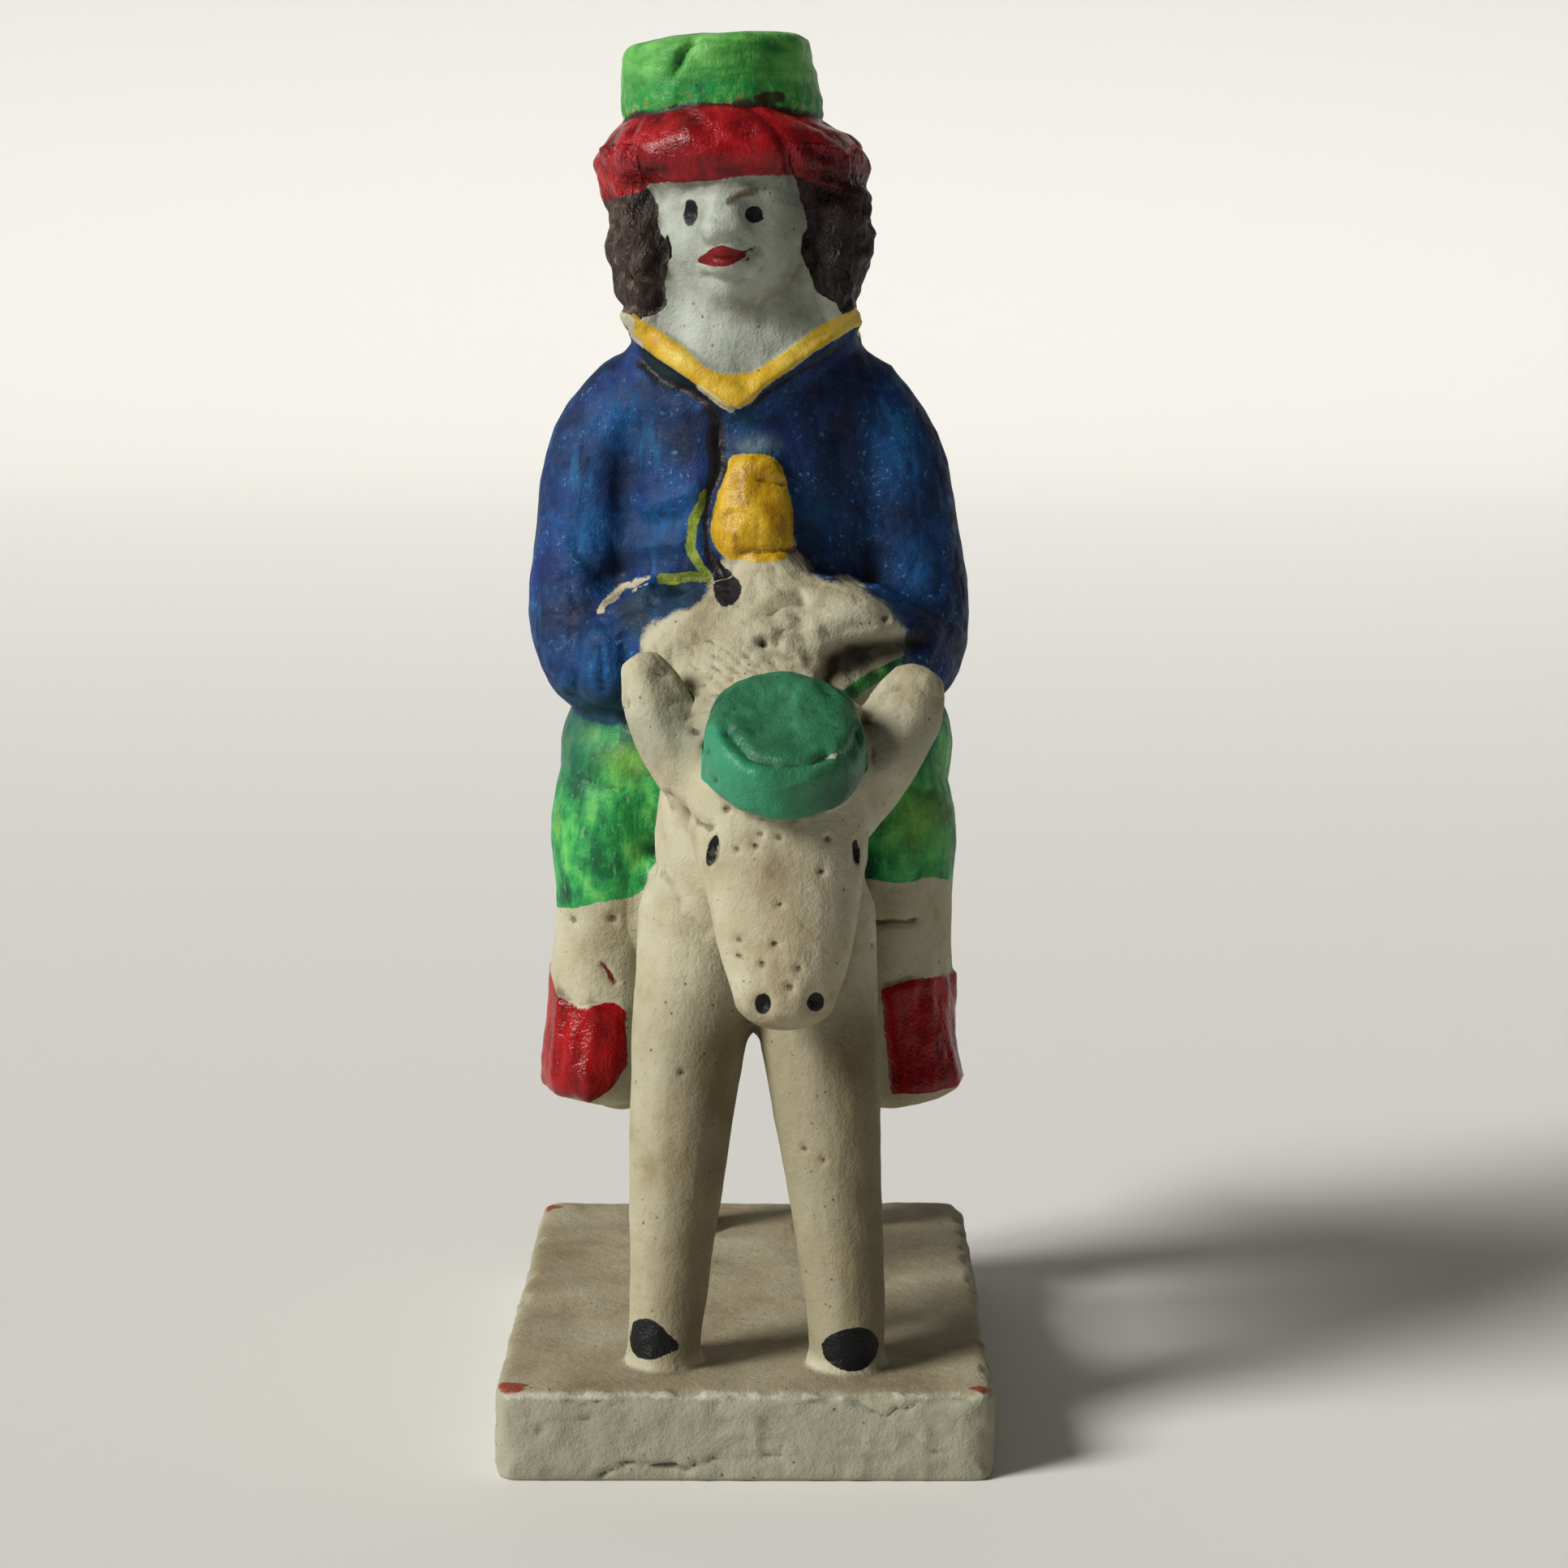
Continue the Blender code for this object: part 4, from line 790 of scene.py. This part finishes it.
def set_points(mesh, points):
    low, high = (np.array(corner) for corner in CAD_BOX)
    placed = (points + (0.0, 0.0, SLAB_THICKNESS)) * MILLIMETRE
    mesh.vertices.foreach_set("co", np.clip(placed, low, high).ravel())
    mesh.update()


def modified(piece, kind, **settings):
    """Applies one modifier to the piece."""
    step = piece.modifiers.new(kind.lower(), kind)
    for name, value in settings.items():
        setattr(step, name, value)
    bpy.context.view_layer.update()
    shaped = piece.evaluated_get(bpy.context.evaluated_depsgraph_get())
    before = piece.data
    piece.data = bpy.data.meshes.new_from_object(shaped)
    piece.modifiers.clear()
    bpy.data.meshes.remove(before)


def painted_figure():
    """The whole figure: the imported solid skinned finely, with its relief pressed in."""
    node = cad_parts["whistle_figure"]
    piece = bpy.data.objects.new("painted_whistle_figure", node.data.copy())
    bpy.context.scene.collection.objects.link(piece)
    modified(piece, "REMESH", mode="VOXEL", voxel_size=SKIN_STEP * MILLIMETRE)
    points, normals, edges = mesh_points(piece.data)
    set_points(piece.data, reshaped(smoothed(points, edges, FACET_PASSES), normals, edges))
    points, normals, _ = mesh_points(piece.data)
    set_points(piece.data, points + normals * relief(points, normals)[:, None])
    faces = sum(len(face.vertices) - 2 for face in piece.data.polygons)
    modified(piece, "DECIMATE", ratio=min(1.0, TRIANGLES / faces))
    mesh = piece.data
    set_points(mesh, mesh_points(mesh)[0])
    mesh.polygons.foreach_set("use_smooth", np.ones(len(mesh.polygons), bool))
    points, normals, edges = mesh_points(mesh)
    fields = {**paint_fields(points, normals), **soft_marks(points, normals)}
    # How deep each point lies in a crease and in a hollow; the paint is darkened there, part dirt, part painted shade.
    near = smoothed(points, edges, 8, shrink=True)
    far = smoothed(near, edges, 50, shrink=True)
    at_feet = smoothstep(3.0, 1.5, np.abs(points[:, 2])) * smoothstep(0.3, 1.2, slab_inset(points))
    fields["crease"] = ((near - points) * normals).sum(axis=1) * (1.0 - 0.85 * at_feet)
    fields["hollow"] = ((far - points) * normals).sum(axis=1)
    for name, values in fields.items():
        mesh.attributes.new(name, "FLOAT", "POINT").data.foreach_set("value", values.astype(np.float32))
    return piece


def linear(red, green, blue):
    """A shader colour from the 0 to 255 values of a paint chart."""
    return tuple(
        (c / 12.92 if c <= 0.04045 else ((c + 0.055) / 1.055) ** 2.4)
        for c in (red / 255, green / 255, blue / 255)
    ) + (1.0,)


class Painter:
    """Builds one material's nodes, coat over coat."""

    def __init__(self, name):
        self.material = bpy.data.materials.new(name)
        self.material.use_nodes = True
        self.nodes = self.material.node_tree.nodes
        self.links = self.material.node_tree.links
        self.shader = self.nodes["Principled BSDF"]
        self.place = self.node("ShaderNodeTexCoord").outputs["Object"]
        self.colour = None
        self.roughness = None

    def node(self, kind, **settings):
        made = self.nodes.new(kind)
        for name, value in settings.items():
            setattr(made, name, value)
        return made

    def feed(self, socket, value):
        if hasattr(value, "links"):
            self.links.new(value, socket)
        else:
            socket.default_value = value

    def field(self, name):
        return self.node("ShaderNodeAttribute", attribute_name=name).outputs["Fac"]

    def math(self, operation, *values, clamp=False):
        made = self.node("ShaderNodeMath", operation=operation, use_clamp=clamp)
        for socket, value in zip(made.inputs, values):
            self.feed(socket, value)
        return made.outputs[0]

    def span(self, value, low, high, to_low=0.0, to_high=1.0):
        made = self.node("ShaderNodeMapRange", interpolation_type="SMOOTHSTEP")
        for socket, given in zip(made.inputs, (value, low, high, to_low, to_high)):
            self.feed(socket, given)
        return made.outputs[0]

    def noise(self, size, detail=3.0, roughness=0.55, distortion=0.0, stretch=(1.0, 1.0, 1.0), turn=(0.0, 0.0, 0.0)):
        """Noise whose lumps are about size millimetres apart."""
        place = self.node("ShaderNodeMapping")
        self.feed(place.inputs["Vector"], self.place)
        self.feed(place.inputs["Rotation"], turn)
        self.feed(place.inputs["Scale"], stretch)
        made = self.node("ShaderNodeTexNoise")
        self.feed(made.inputs["Vector"], place.outputs[0])
        self.feed(made.inputs["Scale"], 1.0 / (size * MILLIMETRE))
        self.feed(made.inputs["Detail"], detail)
        self.feed(made.inputs["Roughness"], roughness)
        self.feed(made.inputs["Distortion"], distortion)
        return made.outputs["Fac"]

    def dots(self, spacing, radius, soft=0.12):
        """Small round specks, 1 at their middles, radius as a share of the spacing."""
        made = self.node("ShaderNodeTexVoronoi")
        self.feed(made.inputs["Vector"], self.place)
        self.feed(made.inputs["Scale"], 1.0 / (spacing * MILLIMETRE))
        return self.span(made.outputs["Distance"], radius + soft, radius, 0.0, 1.0)

    def ramp(self, value, *stops):
        """Colours along a value: pairs of place and paint colour."""
        made = self.node("ShaderNodeValToRGB")
        band = made.color_ramp
        while len(band.elements) < len(stops):
            band.elements.new(0.5)
        for element, (place, paint) in zip(band.elements, stops):
            element.position = place
            element.color = linear(*paint)
        self.feed(made.inputs["Fac"], value)
        return made.outputs["Color"]

    def mix(self, share, first, second, blend="MIX"):
        made = self.node("ShaderNodeMix", data_type="RGBA", blend_type=blend)
        for socket, value in zip((made.inputs[0], made.inputs[6], made.inputs[7]), (share, first, second)):
            self.feed(socket, linear(*value) if isinstance(value, tuple) and len(value) == 3 else value)
        return made.outputs[2]

    def blend(self, share, first, second):
        made = self.node("ShaderNodeMix", data_type="FLOAT")
        for socket, value in zip((made.inputs[0], made.inputs[2], made.inputs[3]), (share, first, second)):
            self.feed(socket, value)
        return made.outputs[0]

    def coat(self, share, paint, roughness):
        """Lays one more paint over what is there."""
        self.colour = self.mix(share, self.colour, paint)
        self.roughness = self.blend(share, self.roughness, roughness)


def painted_clay():
    """Cream slip with the potter's colours brushed over it, worn, pitted and dirty, with painted shade in its creases,
    hollows and shaded sides, and some painted highlights.
    """
    p = Painter("painted_clay")
    broad = p.noise(13.0, 2.0)
    patchy = p.noise(4.6, 3.0, 0.6)
    fine = p.noise(1.3, 3.0, 0.6)
    grain = p.noise(0.42, 2.0, 0.7)
    streak = p.noise(2.2, 3.0, 0.6, 0.3, (1.0, 1.0, 0.28))
    ragged = p.math("MULTIPLY_ADD", p.math("SUBTRACT", fine, 0.5), 0.55,
                    p.math("MULTIPLY", p.math("SUBTRACT", grain, 0.5), 0.35))
    crease = p.field("crease")
    hollow = p.field("hollow")

    def cover(name, soft=0.1, raggedness=1.0, grow=0.0):
        edge = p.math("MULTIPLY_ADD", ragged, raggedness, p.field(name))
        return p.span(edge, -soft - grow, soft - grow)

    def dab(name, share, paint):
        """A soft mark with no edge of its own, broken up by the brush."""
        p.colour = p.mix(p.math("MULTIPLY", p.field(name), p.span(fine, 0.25, 0.6, share * 0.5, share)),
                         p.colour, paint)

    # The cream slip over everything, thin and browner in patches
    slip = p.ramp(p.math("ADD", p.math("MULTIPLY", broad, 0.55), p.math("MULTIPLY", patchy, 0.45)),
                  (0.32, (148, 137, 108)), (0.46, (173, 166, 138)), (0.60, (184, 180, 155)), (0.74, (194, 193, 174)))
    p.colour = p.mix(p.span(fine, 0.56, 0.80, 0.0, 0.40), slip, (128, 110, 82))
    p.roughness = p.span(fine, 0.3, 0.7, 0.58, 0.76)
    dab("boss", 0.45, (142, 118, 82))
    # Forelegs browner, most down their right sides: dirt, with painted shade.
    p.colour = p.mix(p.math("MULTIPLY", p.field("leg_soil_and_shade"), p.span(broad, 0.35, 0.65, 0.7, 1.0)), p.colour, (112, 101, 74))

    # The slab's top is bare and brown, its sides paler
    bare = p.ramp(p.math("ADD", p.math("MULTIPLY", broad, 0.6), p.math("MULTIPLY", fine, 0.4)),
                  (0.32, (126, 112, 86)), (0.50, (152, 142, 116)), (0.68, (168, 160, 136)))
    p.coat(p.math("MULTIPLY", cover("slab", 0.3), 0.85), bare, 0.85)
    p.coat(p.math("MULTIPLY", p.span(p.field("slab"), 0.5, 1.1), 0.7), (156, 156, 138), 0.85)
    # Pale along the slab's top edges: chipped clay, with a painted highlight along the edge.
    p.coat(p.math("MULTIPLY", cover("arris", 0.3, 2.4), 0.75), (200, 198, 182), 0.85)
    p.colour = p.mix(p.math("MULTIPLY", p.field("stain"), p.span(patchy, 0.25, 0.75, 0.35, 0.9)),
                     p.colour, (112, 90, 62))

    # Boots, trousers and jacket
    boots = p.ramp(p.math("ADD", p.math("MULTIPLY", streak, 0.6), p.math("MULTIPLY", patchy, 0.4)),
                   (0.34, (96, 2, 4)), (0.5, (142, 10, 14)), (0.66, (170, 16, 22)))
    p.coat(cover("boots"), boots, p.span(fine, 0.3, 0.7, 0.14, 0.30))

    trousers = p.ramp(p.math("ADD", p.math("MULTIPLY", patchy, 0.65), p.math("MULTIPLY", streak, 0.35)),
                      (0.34, (8, 58, 42)), (0.44, (18, 106, 56)), (0.54, (48, 154, 76)), (0.66, (112, 192, 96)))
    yellowed = p.math("MULTIPLY", p.span(p.noise(7.0, 2.0), 0.56, 0.68), p.span(fine, 0.35, 0.6, 0.0, 0.5))
    yellowed = p.math("MAXIMUM", yellowed, p.math("MULTIPLY", p.field("yellowed"), 0.7))
    trousers = p.mix(yellowed, trousers, (128, 174, 66))
    scratches = p.span(p.noise(0.7, 2.0, 0.6, 0.4, (1.0, 1.0, 0.5)), 0.60, 0.72, 0.0, 0.45)
    trousers = p.mix(scratches, trousers, (128, 184, 128))
    trousers = p.mix(p.math("MULTIPLY", p.field("teal"), p.span(patchy, 0.3, 0.6, 0.3, 0.8)), trousers, (16, 72, 74))
    p.coat(cover("trousers"), trousers, p.span(fine, 0.3, 0.7, 0.40, 0.60))

    jacket = p.ramp(p.math("ADD", p.math("MULTIPLY", broad, 0.4), p.math("MULTIPLY", patchy, 0.6)),
                    (0.36, (5, 18, 46)), (0.46, (8, 36, 78)), (0.55, (12, 55, 106)), (0.66, (18, 78, 132)))
    jacket = p.mix(p.span(p.noise(9.0, 2.0), 0.50, 0.62, 0.0, 0.4), jacket, (12, 34, 108))
    brushed = p.math("MULTIPLY", p.span(streak, 0.52, 0.66), p.span(broad, 0.40, 0.60, 0.0, 0.5))
    jacket = p.mix(brushed, jacket, (30, 104, 146))
    # Pale flecks over the jacket: painted glints of light on its rough paint.
    glint_flecks = p.math("MULTIPLY", p.span(p.noise(0.7, 3.0, 0.7), 0.58, 0.68), p.span(patchy, 0.46, 0.60, 0.0, 0.6))
    # Lighter and deeper patches of blue: uneven brushing, with painted light and painted shade.
    jacket = p.mix(p.math("MULTIPLY", p.field("bright_blue"), p.span(fine, 0.3, 0.6, 0.3, 0.85)), jacket, (18, 84, 142))
    jacket = p.mix(p.math("MULTIPLY", p.field("deep_blue"), 0.6), jacket, (8, 26, 56))
    jacket = p.mix(glint_flecks, jacket, (104, 150, 172))
    p.coat(cover("jacket", 0.35, 2.2), jacket, p.span(fine, 0.3, 0.7, 0.56, 0.74))
    p.colour = p.mix(p.math("MULTIPLY", p.field("hem_shade"), p.span(p.field("jacket"), -3.0, 3.0, 0.25, 0.75)),
                     p.colour, (14, 62, 70))
    dab("hand_shade", 0.8, (24, 46, 50))
    # Painted shadow under the rider's right hand.
    p.colour = p.mix(p.math("MULTIPLY", p.field("under_hand_shadow"), 0.9), p.colour, (44, 36, 26))
    dab("shirt", 0.8, (108, 130, 136))

    # Face, hair and collar
    p.coat(cover("face"), p.ramp(patchy, (0.3, (146, 152, 138)), (0.5, (168, 174, 162)), (0.7, (184, 190, 180))),
           p.span(fine, 0.3, 0.7, 0.42, 0.60))
    dab("jaw_shade", 0.55, (98, 88, 64))
    dab("brim_shade", 0.55, (96, 92, 76))
    hair = p.ramp(p.math("ADD", p.math("MULTIPLY", streak, 0.5), p.math("MULTIPLY", fine, 0.5)),
                  (0.36, (30, 23, 22)), (0.5, (56, 44, 40)), (0.60, (78, 64, 56)), (0.70, (150, 130, 108)))
    p.coat(cover("hair"), hair, p.span(fine, 0.3, 0.7, 0.40, 0.60))
    p.colour = p.mix(p.math("MULTIPLY", p.math("MULTIPLY", cover("hair"), p.field("hair_shade")), 0.75),
                     p.colour, (16, 15, 14))
    p.coat(cover("collar_shade", 0.15), (16, 36, 42), 0.45)
    collar = p.ramp(patchy, (0.3, (182, 134, 28)), (0.5, (202, 166, 46)), (0.7, (212, 184, 84)))
    p.coat(cover("collar"), collar, 0.42)
    p.coat(cover("collar_tip"), (198, 190, 150), 0.5)
    p.coat(cover("collar_end", 0.1, 1.6), (176, 172, 150), 0.6)
    p.coat(cover("lime"), p.ramp(fine, (0.3, (86, 112, 36)), (0.7, (148, 160, 52))), 0.45)
    tie = p.ramp(p.math("ADD", p.math("MULTIPLY", streak, 0.6), p.math("MULTIPLY", patchy, 0.4)),
                 (0.34, (138, 94, 10)), (0.5, (190, 150, 28)), (0.66, (212, 178, 58)))
    p.coat(cover("tie"), tie, 0.34)
    p.coat(cover("lapel"), p.ramp(fine, (0.3, (20, 20, 26)), (0.7, (40, 36, 44))), 0.42)
    p.coat(cover("lapel_right"), (24, 34, 46), 0.45)
    dab("knot", 0.85, (14, 62, 86))

    # The hat
    brim = p.ramp(p.math("ADD", p.math("MULTIPLY", patchy, 0.85), p.math("MULTIPLY", fine, 0.15)),
                  (0.34, (78, 10, 16)), (0.46, (122, 14, 22)), (0.57, (150, 20, 28)), (0.70, (174, 40, 46)))
    p.coat(cover("brim"), brim, p.span(fine, 0.3, 0.7, 0.20, 0.38))
    # Darker towards the right below the crown: painted shade on the brim's shaded side.
    p.colour = p.mix(p.math("MULTIPLY", p.field("brim_side_shade"), p.span(patchy, 0.3, 0.6, 0.7, 0.95)), p.colour, (42, 20, 24))
    brushmarks = p.noise(2.4, 3.0, 0.6, 0.5, (0.35, 0.35, 1.0))
    crown = p.ramp(p.math("ADD", p.math("MULTIPLY", patchy, 0.45), p.math("MULTIPLY", brushmarks, 0.55)),
                   (0.34, (36, 104, 48)), (0.46, (68, 146, 62)), (0.57, (98, 170, 82)), (0.70, (128, 192, 108)))
    vivid = p.math("MULTIPLY", p.span(p.field("crown"), 4.6, 1.8), p.span(fine, 0.40, 0.56))
    crown = p.mix(p.math("MULTIPLY", vivid, 0.85), crown, (0, 134, 62))
    chipped = p.math("MULTIPLY", p.span(p.field("crown"), 2.6, 0.6), p.span(p.noise(1.5, 2.0), 0.57, 0.65))
    crown = p.mix(p.math("MULTIPLY", chipped, 0.8), crown, (150, 100, 56))
    p.coat(cover("crown"), crown, p.span(fine, 0.3, 0.7, 0.38, 0.58))
    p.coat(p.math("MULTIPLY", cover("umber", 0.2), 0.9), (44, 24, 18), 0.5)

    pompon = p.ramp(p.math("ADD", p.math("MULTIPLY", patchy, 0.5), p.math("MULTIPLY", broad, 0.5)),
                    (0.36, (30, 84, 58)), (0.5, (48, 110, 76)), (0.64, (62, 130, 94)))
    # The pompon's lip below the crease, lighter towards the left: a painted highlight.
    pompon = p.mix(p.math("MULTIPLY", p.field("pompon_lip_highlight"), 0.7), pompon, (50, 144, 108))
    pompon = p.mix(p.math("MULTIPLY", p.field("pompon_shade"), 0.6), pompon, (20, 50, 36))
    p.coat(cover("pompon", 0.08, 0.5), pompon, p.span(fine, 0.3, 0.7, 0.30, 0.48))

    # Marks drawn with a small brush, a painted highlight in the left eye, and bare chips
    p.coat(cover("strokes", 0.15), (136, 62, 46), 0.7)
    p.coat(cover("scratch", 0.15, 1.4), (140, 30, 24), 0.6)
    p.coat(cover("lips", 0.06, 0.5), (112, 10, 12), 0.36)
    p.coat(cover("brow", 0.3, 1.4), (104, 98, 76), 0.6)
    p.coat(cover("eyelid", 0.1, 0.5), (84, 62, 46), 0.6)
    p.coat(cover("ink", 0.06, 0.4), (9, 11, 13), 0.42)
    p.coat(p.math("MULTIPLY", cover("glint", 0.1, 0.3), 0.9), (150, 158, 152), 0.4)
    p.coat(p.math("MULTIPLY", cover("pits", 0.12, 0.7), 0.85), (80, 58, 42), 0.9)
    p.coat(cover("chips", 0.1, 1.8), (186, 176, 150), 0.8)

    # Specks over everything, and dirt with painted shade in creases and hollows
    bare_clay = p.span(p.field("jacket"), 0.0, -1.0, 0.15, 1.0)
    specks = p.math("MULTIPLY", p.dots(2.1, 0.06, 0.06), p.span(broad, 0.42, 0.58, 0.0, 0.8))
    specks = p.math("MAXIMUM", specks, p.math("MULTIPLY", p.dots(1.2, 0.07, 0.06), p.span(patchy, 0.50, 0.62, 0.0, 0.6)))
    p.colour = p.mix(p.math("MULTIPLY", specks, bare_clay), p.colour, (86, 66, 46))
    # Darker in creases and hollows, less on the face and the jacket: dirt, and painted shade.
    crease_dirt_and_shade = p.math("MULTIPLY", p.span(crease, 0.03, 0.22, 0.0, 0.6), p.span(p.field("slab"), 0.2, 0.8, 1.0, 0.6))
    crease_dirt_and_shade = p.math("MULTIPLY", crease_dirt_and_shade, p.span(p.field("jacket"), -0.3, 0.3, 1.0, 0.45))
    dirt_and_shade = p.math("ADD", crease_dirt_and_shade, p.span(hollow, 0.2, 1.4, 0.0, 0.45), clamp=True)
    dirt_and_shade = p.math("MULTIPLY", dirt_and_shade, p.span(p.field("face"), -0.3, 0.5, 1.0, 0.45))
    p.colour = p.mix(dirt_and_shade, p.colour, (80, 62, 42), "MULTIPLY")

    # Brushed and grainy skin, rougher where the hair is combed
    brushed = p.math("MULTIPLY", streak, p.span(p.field("slab"), 0.2, 0.8, 0.45, 0.0))
    height = p.math("ADD", brushed, p.math("ADD", p.math("MULTIPLY", fine, 0.5), p.math("MULTIPLY", grain, 0.3)))
    combed = p.math("MULTIPLY", p.noise(1.1, 2.0, 0.6, 1.2, (1.0, 1.0, 0.45)), p.math("MULTIPLY", cover("hair"), 2.2))
    height = p.math("ADD", height, combed)
    bump = p.node("ShaderNodeBump")
    p.feed(bump.inputs["Height"], height)
    p.feed(bump.inputs["Strength"], 0.8)
    p.feed(bump.inputs["Distance"], 0.45 * MILLIMETRE)
    p.feed(p.shader.inputs["Normal"], bump.outputs[0])
    p.feed(p.shader.inputs["Base Color"], p.colour)
    p.feed(p.shader.inputs["Roughness"], p.roughness)
    p.feed(p.shader.inputs["IOR"], 1.34)
    return p.material


def studio():
    """A plain pale floor that curves up behind, a soft key from the left, and a pale sky."""
    reach, bend, top, steps = 2.4, 0.5, 1.8, 16
    profile = [(-reach, 0.0)] + [
        (reach - bend + bend * math.sin(turn), bend - bend * math.cos(turn))
        for turn in (math.pi / 2 * step / steps for step in range(steps + 1))
    ] + [(reach, top)]
    corners = [(side * 2 * reach, y, z) for y, z in profile for side in (-1, 1)]
    faces = [(2 * k, 2 * k + 1, 2 * k + 3, 2 * k + 2) for k in range(len(profile) - 1)]
    sweep = bpy.data.meshes.new("floor")
    sweep.from_pydata(corners, [], faces)
    sweep.polygons.foreach_set("use_smooth", np.ones(len(faces), bool))
    floor = bpy.data.objects.new("floor", sweep)
    bpy.context.scene.collection.objects.link(floor)
    p = Painter("floor")
    p.feed(p.shader.inputs["Base Color"], linear(232, 231, 228))
    p.feed(p.shader.inputs["Roughness"], 0.8)
    sweep.materials.append(p.material)

    def lamp(name, light, source, target=FIGURE_MIDDLE):
        made = bpy.data.objects.new(name, light)
        made.location = source
        made.rotation_euler = (Vector(target) - Vector(source)).to_track_quat("-Z", "Y").to_euler()
        bpy.context.scene.collection.objects.link(made)

    key = bpy.data.lights.new("key", "SUN")
    key.energy, key.angle, key.color = 3.8, math.radians(22), (1.0, 0.985, 0.95)
    lamp("key", key, (-0.71, -0.38, 0.58))
    behind = bpy.data.lights.new("behind", "AREA")
    behind.energy, behind.size, behind.color = 5.5, 1.6, (1.0, 1.0, 1.0)
    lamp("behind", behind, (0.0, 1.0, 1.7), (0.0, 2.4, 0.8))
    world = bpy.data.worlds.new("sky")
    world.use_nodes = True
    world.node_tree.nodes["Background"].inputs["Color"].default_value = (1.0, 0.92, 0.80, 1.0)
    world.node_tree.nodes["Background"].inputs["Strength"].default_value = 0.06
    bpy.context.scene.world = world
    bpy.context.scene.view_settings.view_transform = "Standard"


def camera():
    """The photograph's view: from a little above, 45 cm in front."""
    lens = bpy.data.cameras.new("camera")
    lens.sensor_width = 36.0
    lens.lens = 78.26
    lens.clip_start = 0.01
    seen_from = bpy.data.objects.new("camera", lens)
    seen_from.location = (0.0062, -0.447, 0.1474)
    seen_from.rotation_euler = (math.pi / 2 - 0.1485, 0.0, 0.0033)
    bpy.context.scene.collection.objects.link(seen_from)
    bpy.context.scene.camera = seen_from


figure = painted_figure()
figure.data.materials.clear()
figure.data.materials.append(painted_clay())
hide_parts("whistle_figure")
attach(figure, "root")
studio()
camera()
